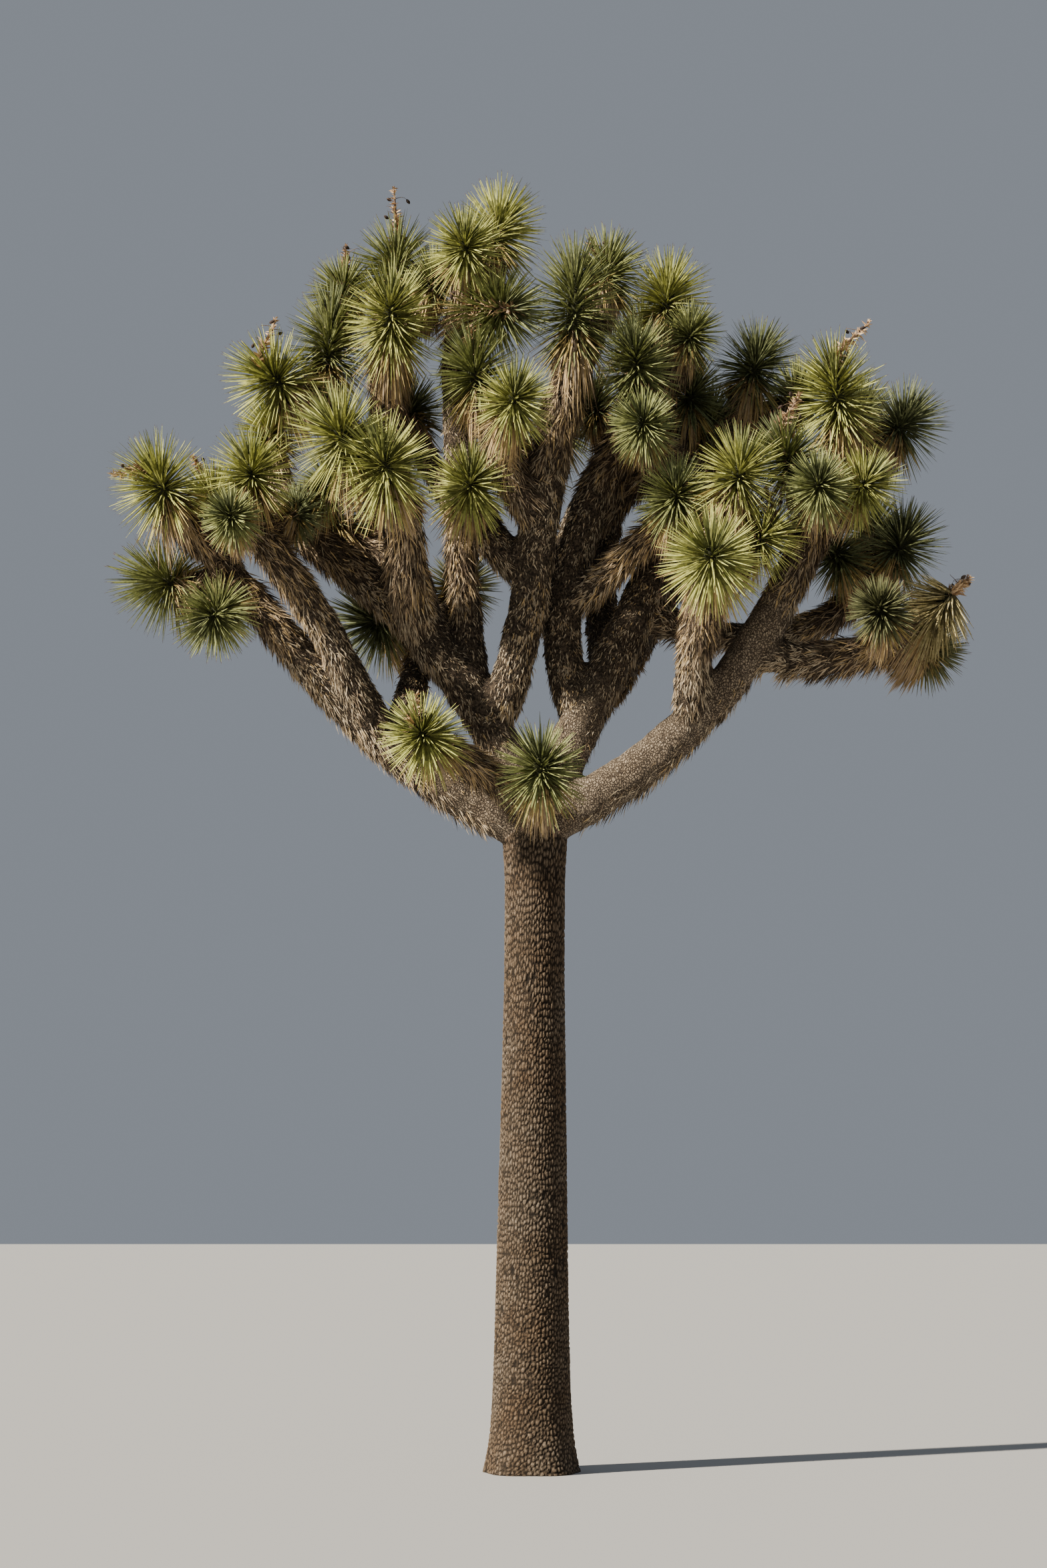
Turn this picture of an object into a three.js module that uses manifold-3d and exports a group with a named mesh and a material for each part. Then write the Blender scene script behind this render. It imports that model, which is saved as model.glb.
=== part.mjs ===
// A Joshua tree, about 7.3 m tall: one bare corky trunk, thatched boughs that fork low and
// spread wide, and rosettes of stiff dagger leaves at the end of every branch.
// Millimetres, +Z up. The origin is the centre of the flat cut at ground level.
// The tree is seen in the photo along +Y, so -X is its left side and -Y its near side.

import * as THREE from 'three';
import { mergeVertices } from 'three/addons/utils/BufferGeometryUtils.js';
import Module from 'manifold-3d';

const wasm = await Module();
wasm.setup();

// Trunk
const TRUNK_HEIGHT = 3700;
const TRUNK_LEAN = 20;
const TRUNK_GROUND_RADIUS = 215;
const TRUNK_WAIST_RADIUS = 164;
const TRUNK_WAIST_SHARE = 0.72;
const FLARE_RADIUS = 46;
const FLARE_HEIGHT = 190;
const FLARE_LOBES = 5;
const LOBE_DEPTH = 0.3;
const CROWN_SWELL = 14;
const CROWN_SWELL_SHARES = [0.86, 0.95];
const DOME_SHARE = 0.96;
const DOME_DEPTH = 0.6;
const TRUNK_SIDES = 20;
const TRUNK_RINGS = [0, 0.02, 0.05, 0.1, 0.2, 0.42, 0.72, 0.86, 0.92, 0.96, 0.985, 1];

// Boughs: each is one tapering limb, 7-sided, with a swollen collar where it leaves its parent.
const BOUGH_SIDES = 7;
const RING_SPACING = 380;
const COLLAR_GAIN = 0.14;
const COLLAR_LENGTH = 260;
const HANDLE_SHARE = 0.36;
const FOOT_SHARE = 0.6;
const FOOT_DEPTH = 0.8;
const STEEPEST = 0.9;

// Rosettes: the end of a stem, tiled with leaf bases like a pine cone, a blade on each tile.
// A ring is [share of the half length along the axis, share of the core's radius].
const CORE_RINGS = [[0.96, 0.3], [0.74, 0.72], [0.27, 0.98], [-0.22, 1], [-0.66, 0.92], [-1, 0.8]];
const LEAF_ANGLES = [16, 38, 66, 96, 124];
const LEAF_SHARES = [0.95, 1, 1, 1, 0.95];
const LARGE_REACH = 275;
const LEAVES_AROUND = [5, 6];
const CORE_SHARE = 0.34;
const CORE_OVERHANG = 1.15;
const SPEAR_SHARE = 0.9;
const LENGTH_SPREAD = 0.08;
const AIM_SPREAD = 0.16;
const SHORTEST_LEAF = 0.4;
const LEAF_STEP = 0.1;
const NO_LEAF = 0.04;
const LEAF_HALF_WIDTH = 26;
const LEAF_TESTS = [0.45, 0.7, 0.85, 1];
const HEAD_LIFT = 0.25;

// Arms: the short forking stems that carry the rosettes of one mass.
const ARM_SHARES = [0];
const ARM_FOOT_SHARE = 0.82;
const ARM_BEND = 0.35;
const HUB_SHARE = 1.15;
const HUB_OVERLAP = 0.4;
const HUB_TAPER = 0.25;
const STALK_RADIUS = 22;
const STALK_TAPER = 0.3;
const STALK_SIDES = 5;

// A mass that the photo doesn't show fans out by rule round its bough's direction.
const FAN_HEADS = 3;
const FAN_DISTANCE = 400;
const FAN_SPREAD = 0.62;
const FAN_REACH = 265;

// Room between solids
const CUT_GAP = 0.3;
const TIP_GAP = 0.35;
const SPACE_GAP = 6;
const SMOOTHING = 0.25;
const SEED = 20260;

// from: the limb it grows on; at: share of that limb's length; tip: its end;
// leaves and ends: the directions it sets out and finishes in; girth: its radius at foot and tip,
// with the thatch of dead leaves that wraps it.
const BOUGHS = [
  { name: 'bough_left', from: 'trunk', at: 0.955, tip: [-1600, -200, 4860],
    leaves: [-1, -0.05, 0.36], ends: [-0.62, -0.1, 0.78], girth: [138, 94] },
  { name: 'bough_right', from: 'trunk', at: 0.955, tip: [1540, -350, 5170],
    leaves: [1, -0.1, 0.42], ends: [0.3, -0.15, 0.95], girth: [128, 104] },
  { name: 'stem_left', from: 'trunk', at: 0.975, tip: [-1250, 50, 5190],
    leaves: [-0.4, 0, 0.9], ends: [-0.8, 0, 0.55], girth: [130, 104] },
  { name: 'stem_right', from: 'trunk', at: 0.975, tip: [1000, 300, 5650],
    leaves: [0.45, 0, 0.9], ends: [0.4, 0.2, 0.9], girth: [130, 112] },
  { name: 'bough_left_inner', from: 'bough_left', at: 0.45, tip: [-1450, -450, 5050],
    leaves: [-0.5, -0.35, 0.8], ends: [-0.65, -0.1, 0.75], girth: [94, 96] },
  { name: 'bough_left_rear', from: 'bough_left', at: 0.43, tip: [-620, 750, 4750],
    leaves: [0.25, 0.8, 0.8], ends: [0.1, 0.75, 0.6], girth: [90, 84] },
  { name: 'bough_left_low', from: 'stem_left', at: 0.575, tip: [-690, -350, 5080],
    leaves: [-0.45, -0.6, 0.8], ends: [0.05, -0.4, 0.9], girth: [108, 122] },
  { name: 'bough_left_high', from: 'stem_left', at: 0.5, tip: [-810, 100, 6100],
    leaves: [-0.4, 0.4, 0.85], ends: [0.03, -0.05, 1], girth: [104, 118] },
  { name: 'bough_left_shoulder', from: 'bough_left_high', at: 0.62, tip: [-1120, 0, 5870],
    leaves: [-0.6, -0.25, 0.8], ends: [-0.65, -0.1, 0.75], girth: [88, 92] },
  { name: 'bough_left_slim', from: 'stem_left', at: 0.33, tip: [-400, 40, 5170],
    leaves: [-0.12, 0.3, 0.95], ends: [-0.05, -0.15, 1], girth: [86, 92] },
  { name: 'bough_centre', from: 'stem_left', at: 0.27, tip: [180, -250, 5890],
    leaves: [0.45, -0.2, 0.85], ends: [0.3, -0.15, 0.92], girth: [106, 128] },
  { name: 'bough_top', from: 'bough_centre', at: 0.48, tip: [-370, 0, 6500],
    leaves: [-0.8, 0.25, 0.5], ends: [0.12, -0.1, 1], girth: [96, 112] },
  { name: 'bough_centre_near', from: 'bough_centre', at: 0.63, tip: [-170, -320, 5600],
    leaves: [-0.5, -0.5, 0.7], ends: [-0.3, -0.2, 0.9], girth: [90, 98] },
  { name: 'bough_centre_right', from: 'stem_right', at: 0.26, tip: [570, 100, 5780],
    leaves: [-0.4, 0.15, 0.9], ends: [0.6, 0, 0.8], girth: [108, 132] },
  { name: 'bough_right_shoulder', from: 'bough_centre_right', at: 0.66, tip: [690, 230, 5620],
    leaves: [0.7, 0.35, 0.5], ends: [0.8, 0.2, 0.5], girth: [88, 96] },
  { name: 'bough_right_arm', from: 'bough_centre_right', at: 0.4, tip: [700, -150, 5190],
    leaves: [0.95, -0.3, 0.2], ends: [0.8, -0.25, 0.5], girth: [84, 88] },
  { name: 'bough_right_rear', from: 'stem_right', at: 0.41, tip: [520, 800, 5740],
    leaves: [-0.1, 0.8, 0.6], ends: [0.25, 0.3, 0.9], girth: [92, 96] },
  { name: 'bough_right_level', from: 'stem_right', at: 0.585, tip: [1860, 350, 4900],
    leaves: [0.8, 0.35, -0.45], ends: [0.7, 0.1, 0.7], girth: [86, 88] },
  { name: 'bough_right_near', from: 'bough_right', at: 0.45, tip: [970, -450, 4820],
    leaves: [-0.05, -0.5, 0.85], ends: [0.15, -0.15, 0.97], girth: [96, 116] },
  { name: 'bough_right_high', from: 'bough_right', at: 0.87, tip: [1770, 50, 5540],
    leaves: [0.45, 0.5, 0.7], ends: [0.4, 0.35, 0.85], girth: [88, 92] },
  { name: 'bough_right_low', from: 'bough_right', at: 0.67, tip: [1930, -300, 4520],
    leaves: [0.9, 0, -0.15], ends: [0.88, -0.05, 0.35], girth: [88, 112] },
  { name: 'spur_near', from: 'trunk', at: 0.955, tip: [45, -360, 3680],
    leaves: [0.1, -1, 0.15], ends: [0.05, -0.9, 0.3], girth: [84, 84] },
  { name: 'spur_left', from: 'trunk', at: 0.985, tip: [-430, -470, 3900],
    leaves: [-0.6, -0.75, 0.4], ends: [-0.7, -0.65, 0.3], girth: [86, 84] },
  { name: 'bough_back_left', from: 'stem_left', at: 0.24, tip: [-820, 1200, 5240],
    leaves: [-0.25, 0.85, 0.6], ends: [-0.5, 0.6, 0.7], girth: [100, 98] },
  { name: 'bough_back_centre', from: 'bough_centre_right', at: 0.27, tip: [20, 1100, 5660],
    leaves: [-0.05, 0.8, 0.65], ends: [-0.05, 0.6, 0.8], girth: [96, 98] },
  { name: 'bough_back_right', from: 'stem_right', at: 0.31, tip: [860, 1100, 5180],
    leaves: [0.4, 0.85, 0.45], ends: [0.4, 0.6, 0.75], girth: [100, 98] },
];

// Each mass is the group of rosettes at one bough's tip. A head is [x, y, z, reach of its
// leaves, length of its leafy stem], and, for a dry flower stalk, how far the stalk's tip
// stands to the side of the head's middle and above it. A mass with no heads is fanned out.
const MASSES = [
  { name: 'rosettes_left_tip', on: 'bough_left', heads: [[-2040, -400, 5380, 315, 0, -290, 80],
    [-1790, 10, 5370, 260], [-2040, -100, 4900, 310], [-1740, -480, 4690, 260]] },
  { name: 'rosettes_left_inner', on: 'bough_left_inner', heads: [[-1530, -600, 5410, 270],
    [-1620, -800, 5130, 215], [-1310, -190, 5280, 195]] },
  { name: 'rosettes_left_stem', on: 'stem_left', heads: [[-1150, -150, 5440, 215],
    [-1490, 150, 5810, 225], [-1530, 450, 5500, 240]] },
  { name: 'rosettes_left_low', on: 'bough_left_low', heads: [[-1040, -520, 5620, 340],
    [-790, -850, 5390, 345]] },
  { name: 'rosettes_left_shoulder', on: 'bough_left_shoulder', heads: [[-1430, -150, 6040, 315],
    [-1150, 20, 6280, 285, 240], [-1090, 370, 6690, 240]] },
  { name: 'rosettes_left_high', on: 'bough_left_high', heads: [[-790, -200, 6370, 300, 160],
    [-780, 250, 6800, 290, 60, -15, 500], [-560, 30, 6660, 230]] },
  { name: 'rosettes_left_slim', on: 'bough_left_slim', heads: [[-340, -320, 5400, 275],
    [-710, 500, 6020, 250]] },
  { name: 'rosettes_left_rear', on: 'bough_left_rear', heads: [[-880, 600, 4790, 310],
    [-420, 1080, 5080, 255], [-800, 1130, 4930, 255]] },
  { name: 'rosettes_top', on: 'bough_top', heads: [[-370, -300, 6760, 260],
    [-200, 160, 6990, 290, 100], [-230, -230, 6450, 280, 180]] },
  { name: 'rosettes_centre', on: 'bough_centre', heads: [[240, -330, 6410, 300, 280],
    [430, 150, 6740, 270, 60]] },
  { name: 'rosettes_centre_near', on: 'bough_centre_near', heads: [[-310, -310, 6030, 255, 60],
    [-100, -620, 5810, 250]] },
  { name: 'rosettes_centre_right', on: 'bough_centre_right', heads: [[590, -270, 6080, 265, 160],
    [780, 150, 6580, 285, 80], [900, -40, 6330, 210]] },
  { name: 'rosettes_right_shoulder', on: 'bough_right_shoulder', heads: [[910, 130, 6020, 245],
    [620, -420, 5720, 225]] },
  { name: 'rosettes_right_rear', on: 'bough_right_rear', heads: [[380, 900, 6150, 255],
    [660, 900, 6560, 260], [900, 1000, 5960, 255]] },
  { name: 'rosettes_right_stem', on: 'stem_right', heads: [[1290, 300, 6230, 275, 60],
    [1040, 330, 5900, 245], [1560, 720, 6160, 250], [1260, 1100, 6050, 255]] },
  { name: 'rosettes_right_arm', on: 'bough_right_arm', heads: [[800, -370, 5330, 250]] },
  { name: 'rosettes_right_near', on: 'bough_right_near', heads: [[965, -850, 4890, 345],
    [1250, -560, 5060, 260], [1130, -660, 5390, 290]] },
  { name: 'rosettes_right_tip', on: 'bough_right', heads: [[1420, -450, 5520, 255, 60, 60, 385],
    [1560, -720, 5310, 225], [1810, -560, 5350, 240]] },
  { name: 'rosettes_right_high', on: 'bough_right_high', heads: [[1720, -150, 5940, 305, 180, 190, 460],
    [2110, 130, 5850, 280], [1930, 620, 6030, 250]] },
  { name: 'rosettes_right_level', on: 'bough_right_level', heads: [[1740, 180, 5110, 240],
    [2110, 290, 5180, 295], [2010, 740, 5340, 250]] },
  { name: 'rosettes_right_low', on: 'bough_right_low', heads: [[2240, -350, 4700, 260, 60, 180, 190],
    [1900, -600, 4650, 215], [2210, -70, 4530, 240]] },
  { name: 'rosette_spur_near', on: 'spur_near', heads: [[50, -570, 3760, 290]] },
  { name: 'rosette_spur_left', on: 'spur_left', heads: [[-580, -640, 3990, 295]] },
  { name: 'rosettes_back_left', on: 'bough_back_left' },
  { name: 'rosettes_back_centre', on: 'bough_back_centre' },
  { name: 'rosettes_back_right', on: 'bough_back_right' },
];

const vector = (xyz) => new THREE.Vector3(...xyz);
const radians = THREE.MathUtils.degToRad;
const mix = THREE.MathUtils.lerp;

// A repeatable stream of numbers from 0 to 1.
function seededRandom(seed) {
  let state = seed;
  return () => {
    state = (state + 0x6d2b79f5) | 0;
    let mixed = Math.imul(state ^ (state >>> 15), 1 | state);
    mixed = (mixed + Math.imul(mixed ^ (mixed >>> 7), 61 | mixed)) ^ mixed;
    return ((mixed ^ (mixed >>> 14)) >>> 0) / 4294967296;
  };
}

function geometryOf(positions, triangles) {
  const geometry = new THREE.BufferGeometry();
  geometry.setAttribute('position', new THREE.Float32BufferAttribute(positions, 3));
  geometry.setIndex(triangles);
  return geometry;
}

function solidOf(geometry) {
  const merged = mergeVertices(geometry, 1e-3);
  return new wasm.Manifold(new wasm.Mesh({
    numProp: 3,
    vertProperties: new Float32Array(merged.attributes.position.array),
    triVerts: new Uint32Array(merged.index.array),
  }));
}

// The biggest of a solid's separate bodies: a cut can leave a scrap behind.
function mainBody(solid) {
  return solid.decompose().reduce((best, body) => (body.volume() > best.volume() ? body : best));
}

function meshOf(name, solid, material) {
  const { vertProperties, triVerts } = solid.getMesh();
  const mesh = new THREE.Mesh(geometryOf(vertProperties, Array.from(triVerts)), material);
  mesh.name = name;
  return mesh;
}

function evenShares(count) {
  return Array.from({ length: count + 1 }, (_, index) => index / count);
}

// A closed tube along a curve, its radius given for each share of the length and angle.
// A margin makes it that much longer at both ends.
function sweep(curve, radiusAt, shares, sides, margin = 0) {
  const rings = shares.length - 1;
  const positions = [];
  const normal = new THREE.Vector3(1, 0, 0);
  shares.forEach((share) => {
    const centre = curve.getPointAt(share);
    const tangent = curve.getTangentAt(share);
    if (Math.abs(normal.dot(tangent)) > STEEPEST) normal.set(0, 1, 0);
    normal.addScaledVector(tangent, -normal.dot(tangent)).normalize();
    const binormal = tangent.clone().cross(normal);
    if (share === 0) centre.addScaledVector(tangent, -margin);
    if (share === 1) centre.addScaledVector(tangent, margin);
    for (let side = 0; side < sides; side++) {
      const angle = (2 * Math.PI * side) / sides;
      const radius = radiusAt(share, angle);
      const point = centre.clone()
        .addScaledVector(normal, radius * Math.cos(angle))
        .addScaledVector(binormal, radius * Math.sin(angle));
      positions.push(...point.toArray());
    }
  });
  const foot = positions.length / 3;
  const footPoint = curve.getPointAt(0).addScaledVector(curve.getTangentAt(0), -margin);
  const tipPoint = curve.getPointAt(1).addScaledVector(curve.getTangentAt(1), margin);
  positions.push(...footPoint.toArray(), ...tipPoint.toArray());
  const triangles = [];
  for (let side = 0; side < sides; side++) {
    const next = (side + 1) % sides;
    for (let ring = 0; ring < rings; ring++) {
      const low = ring * sides;
      const high = low + sides;
      triangles.push(low + side, low + next, high + next, low + side, high + next, high + side);
    }
    triangles.push(foot, next, side);
    triangles.push(foot + 1, rings * sides + side, rings * sides + next);
  }
  return geometryOf(positions, triangles);
}

// A limb's centre line, from the direction it sets out in to the one it ends in.
function limbCurve(foot, tip, leaves, ends) {
  const handle = HANDLE_SHARE * foot.distanceTo(tip);
  return new THREE.CubicBezierCurve3(
    foot,
    foot.clone().addScaledVector(leaves.clone().normalize(), handle),
    tip.clone().addScaledVector(ends.clone().normalize(), -handle),
    tip,
  );
}

// The trunk's radius: an even taper, the lobed flare at the ground and a swell under the fork.
function trunkRadius(share, angle) {
  const height = share * TRUNK_HEIGHT;
  const taper = Math.min(1, share / TRUNK_WAIST_SHARE);
  const flare = FLARE_RADIUS * Math.exp(-height / FLARE_HEIGHT);
  const lobes = 1 + LOBE_DEPTH * Math.sin(FLARE_LOBES * angle);
  const swell = CROWN_SWELL * THREE.MathUtils.smoothstep(share, ...CROWN_SWELL_SHARES);
  const dome = Math.sqrt(1 - DOME_DEPTH * THREE.MathUtils.smoothstep(share, DOME_SHARE, 1));
  return (mix(TRUNK_GROUND_RADIUS, TRUNK_WAIST_RADIUS, taper) + flare * lobes + swell) * dome;
}

function makeTrunk() {
  const curve = limbCurve(
    vector([0, 0, 0]),
    vector([TRUNK_LEAN, 0, TRUNK_HEIGHT]),
    vector([0, 0, 1]),
    vector([0, 0, 1]),
  );
  return { name: 'trunk', curve, radiusAt: trunkRadius, shares: TRUNK_RINGS, sides: TRUNK_SIDES };
}

function makeBough(row, parent) {
  const foot = parent.curve.getPointAt(row.at);
  const curve = limbCurve(foot, vector(row.tip), vector(row.leaves), vector(row.ends));
  const length = curve.getLength();
  const depth = FOOT_DEPTH * parent.radiusAt(row.at, 0) / length;
  const collar = (share) => 1 + COLLAR_GAIN * Math.exp((-share * length) / COLLAR_LENGTH);
  const foothold = (share) => mix(FOOT_SHARE, 1, Math.min(1, share / depth));
  const radiusAt = (share) => mix(...row.girth, share) * collar(share) * foothold(share);
  const count = Math.ceil(length * (1 - depth) / RING_SPACING);
  const shares = [0, ...evenShares(count).map((share) => mix(depth, 1, share))];
  return { name: row.name, curve, radiusAt, shares, sides: BOUGH_SIDES };
}

// A limb's solid, made thicker by a margin where it is used to cut its neighbours.
function limbSolid(limb, margin = 0) {
  const radiusAt = (share, angle) => limb.radiusAt(share, angle) + margin;
  return solidOf(sweep(limb.curve, radiusAt, limb.shares, limb.sides, margin));
}

function boxesMeet(boxA, boxB) {
  return [0, 1, 2].every((axis) => boxA.min[axis] < boxB.max[axis] && boxB.min[axis] < boxA.max[axis]);
}

// Takes every cutter that is close enough to matter away from a solid.
function cutClear(solid, cutters) {
  const box = solid.boundingBox();
  return cutters
    .filter((cutter) => boxesMeet(box, cutter.boundingBox()))
    .reduce((kept, cutter) => kept.subtract(cutter), solid);
}

// A head's frame: its axis runs from the hub to the leaves' middle, lifted towards the light.
function makeHead([x, y, z, reach, long = 0, ...stalk], hub) {
  const centre = new THREE.Vector3(x, y, z);
  const toHead = centre.clone().sub(hub).normalize();
  const axis = toHead.clone().add(new THREE.Vector3(0, 0, HEAD_LIFT)).normalize();
  const across = new THREE.Vector3(0.3, 0.2, 1).cross(axis).normalize();
  const sides = LEAVES_AROUND[reach > LARGE_REACH ? 1 : 0];
  const core = CORE_SHARE * reach;
  return { centre, axis, across, toHead, reach, stalk, sides, core, half: long / 2 + CORE_OVERHANG * core };
}

// The heads of a mass that the photo doesn't show, spread evenly round its bough's direction.
function fanHeads(hub, tangent) {
  const across = tangent.clone().cross(new THREE.Vector3(1, 0, 0)).normalize();
  return Array.from({ length: FAN_HEADS }, (_, index) => {
    const outward = across.clone().applyAxisAngle(tangent, (2 * Math.PI * index) / FAN_HEADS);
    const aim = tangent.clone().addScaledVector(outward, FAN_SPREAD).normalize();
    return [...hub.clone().addScaledVector(aim, FAN_DISTANCE).toArray(), FAN_REACH];
  });
}

// The arms of a mass fork from a hub just past its bough's tip, 0.3 mm clear of it.
function makeMass(row, bough) {
  const tangent = bough.curve.getTangentAt(1);
  const tipRadius = bough.radiusAt(1);
  const start = bough.curve.getPointAt(1).addScaledVector(tangent, TIP_GAP);
  const hub = start.clone().addScaledVector(tangent, HUB_SHARE * tipRadius);
  const stem = {
    curve: new THREE.LineCurve3(start, hub.clone().addScaledVector(tangent, HUB_OVERLAP * tipRadius)),
    radiusAt: (share) => tipRadius * (1 - HUB_TAPER * share),
    shares: [0, 1],
    sides: BOUGH_SIDES,
  };
  const arms = (row.heads || fanHeads(hub, tangent)).map((entry) => {
    const head = makeHead(entry, hub);
    const neck = head.centre.clone().addScaledVector(head.axis, -head.half);
    const neckRadius = head.core * CORE_RINGS.at(-1)[1];
    return {
      head,
      curve: limbCurve(hub, neck, head.toHead.clone().lerp(tangent, ARM_BEND), head.axis),
      radiusAt: (share) => mix(ARM_FOOT_SHARE * tipRadius, neckRadius, share),
      shares: [0, 0.5, 1],
      sides: head.sides,
    };
  });
  return { name: row.name, stem, arms };
}

// How far a point lies on its own side of the plane that parts two heads' spaces.
function sideOf(point, head, other) {
  const own = point.distanceToSquared(head.centre) - head.reach ** 2;
  const theirs = point.distanceToSquared(other.centre) - other.reach ** 2;
  return (theirs - own) / (2 * head.centre.distanceTo(other.centre));
}

// Sample points along a limb with the radius that a leaf has to keep out of.
function samplesOf(limb) {
  return evenShares(3 * limb.shares.length).map((share) => ({
    point: limb.curve.getPointAt(share),
    radius: limb.radiusAt(share, 0),
    head: limb.head,
  }));
}

// The longest share of a leaf, from 1 down, that keeps to its head's space and clear of limbs.
function roomFor(base, apex, head, neighbours, obstacles) {
  for (let share = 1; share >= SHORTEST_LEAF; share -= LEAF_STEP) {
    const tip = base.clone().lerp(apex, share);
    const inSpace = neighbours.every((other) => sideOf(tip, head, other) > SPACE_GAP);
    const isClear = obstacles.every(({ point, radius }) => LEAF_TESTS.every((part) => {
      const room = radius + SPACE_GAP + LEAF_HALF_WIDTH * (1 - part);
      return base.clone().lerp(tip, part).distanceTo(point) > room;
    }));
    if (inSpace && isClear) return share;
  }
  return 0;
}

// One arm with its rosette, a single closed surface: rings of points down the core and on down
// the arm to the hub, and a blade on each tile between the core's rings.
function armSolid(arm, neighbours, obstacles, random) {
  const { head } = arm;
  const { sides } = head;
  const length = head.reach - head.core;
  const twist = random() * Math.PI;
  const around = (step, tangent = head.axis) => {
    const angle = twist + (2 * Math.PI * step) / sides;
    const first = head.across.clone().addScaledVector(tangent, -head.across.dot(tangent)).normalize();
    const second = tangent.clone().cross(first);
    return first.multiplyScalar(Math.cos(angle)).addScaledVector(second, Math.sin(angle));
  };
  const onCore = ([along, girth], step) => head.centre.clone()
    .addScaledVector(head.axis, head.half * along)
    .addScaledVector(around(step), head.core * girth);

  const positions = [];
  const triangles = [];
  const add = (point) => positions.push(...point.toArray()) / 3 - 1;
  const at = (ring, step) => ring * sides + ((step + sides) % sides);
  CORE_RINGS.forEach((row, ring) => {
    for (let step = 0; step < sides; step++) add(onCore(row, step + (ring % 2) / 2));
  });
  const neckRing = CORE_RINGS.length - 1;
  ARM_SHARES.forEach((share) => {
    const point = arm.curve.getPointAt(share);
    const tangent = arm.curve.getTangentAt(share);
    for (let step = 0; step < sides; step++) {
      add(point.clone().addScaledVector(around(step + (neckRing % 2) / 2, tangent), arm.radiusAt(share)));
    }
  });
  const lastRing = neckRing + ARM_SHARES.length;

  const roomOr = (base, apex) => roomFor(base, apex, head, neighbours, obstacles) || NO_LEAF;
  const addLeaf = (ring, step, corners) => {
    const place = step + 0.5 + (ring % 2) / 2;
    const base = onCore(CORE_RINGS[ring], place);
    const lean = radians(LEAF_ANGLES[ring]) + AIM_SPREAD * (random() - 0.5);
    const aim = head.axis.clone().multiplyScalar(Math.cos(lean))
      .addScaledVector(around(place + AIM_SPREAD * (random() - 0.5)), Math.sin(lean));
    const reach = length * LEAF_SHARES[ring] * (1 - LENGTH_SPREAD * random());
    const apex = base.clone().addScaledVector(aim, reach);
    const index = add(base.clone().lerp(apex, roomOr(base, apex)));
    corners.forEach((corner, turn) => {
      triangles.push(corner, corners[(turn + 1) % corners.length], index);
    });
  };

  for (let step = 0; step < sides; step++) {
    addLeaf(0, step, [at(0, step + 1), at(0, step), at(1, step)]);
    for (let ring = 1; ring < neckRing; ring++) {
      const shift = ring % 2;
      addLeaf(ring, step, [
        at(ring, step),
        at(ring + 1, step + shift),
        at(ring, step + 1),
        at(ring - 1, step + shift),
      ]);
    }
  }
  const crown = onCore([1, 0], 0);
  const spear = crown.clone().addScaledVector(head.axis, SPEAR_SHARE * length);
  const top = add(crown.clone().lerp(spear, roomOr(crown, spear)));
  const foot = add(arm.curve.getPointAt(0));
  for (let step = 0; step < sides; step++) {
    triangles.push(at(0, step), at(0, step + 1), top);
    triangles.push(at(neckRing, step), at(neckRing, step + 1), at(neckRing - 1, step + (neckRing % 2)));
    for (let ring = neckRing; ring < lastRing; ring++) {
      triangles.push(at(ring + 1, step), at(ring + 1, step + 1), at(ring, step + 1));
      triangles.push(at(ring + 1, step), at(ring, step + 1), at(ring, step));
    }
    triangles.push(at(lastRing, step + 1), at(lastRing, step), foot);
  }
  return solidOf(geometryOf(positions, triangles));
}

// A dry flower stalk, slender, from inside the core to its tip beyond the leaves.
function stalkSolid(head) {
  const [aside, above] = head.stalk;
  const tip = head.centre.clone().add(new THREE.Vector3(aside, 0, above));
  const curve = new THREE.LineCurve3(head.centre, tip);
  const radiusAt = (share) => STALK_RADIUS * mix(1, STALK_TAPER, share);
  return solidOf(sweep(curve, radiusAt, [0, 1], STALK_SIDES));
}

const bark = new THREE.MeshStandardMaterial({ color: 0x6f5a44, roughness: 0.95, metalness: 0 });
const thatch = new THREE.MeshStandardMaterial({ color: 0x85745a, roughness: 0.95, metalness: 0 });
const foliage = new THREE.MeshStandardMaterial({ color: 0x7c8a45, roughness: 0.6, metalness: 0 });

const tree = new THREE.Group();
const limbs = new Map([['trunk', makeTrunk()]]);
BOUGHS.forEach((row) => limbs.set(row.name, makeBough(row, limbs.get(row.from))));
const masses = MASSES.map((row) => makeMass(row, limbs.get(row.on)));

// Each limb is cut clear of those made before it.
const limbCutters = [...limbs.values()].map((limb) => limbSolid(limb, CUT_GAP));
[...limbs.values()].forEach((limb, index) => {
  const solid = mainBody(cutClear(limbSolid(limb), limbCutters.slice(0, index)));
  tree.add(meshOf(limb.name, solid, limb.name === 'trunk' ? bark : thatch));
});

const random = seededRandom(SEED);
const arms = masses.flatMap((mass) => mass.arms);
const samples = [...limbs.values(), ...arms].flatMap(samplesOf);
const armCutters = masses.map((mass) => [mass.stem, ...mass.arms].map((arm) => limbSolid(arm, CUT_GAP)));

// One arm and its rosette, kept clear of every other limb and every other rosette's space.
function growArm(arm, cutters) {
  const { head } = arm;
  const reachOf = (other) => head.reach + other.reach + head.half + other.half;
  const neighbours = arms.map((other) => other.head)
    .filter((other) => other !== head && other.centre.distanceTo(head.centre) < reachOf(other));
  const obstacles = samples.filter(({ point, radius, head: owner }) => owner !== head
    && point.distanceTo(head.centre) < head.reach + head.half + radius);
  return cutClear(armSolid(arm, neighbours, obstacles, random), cutters);
}

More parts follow.
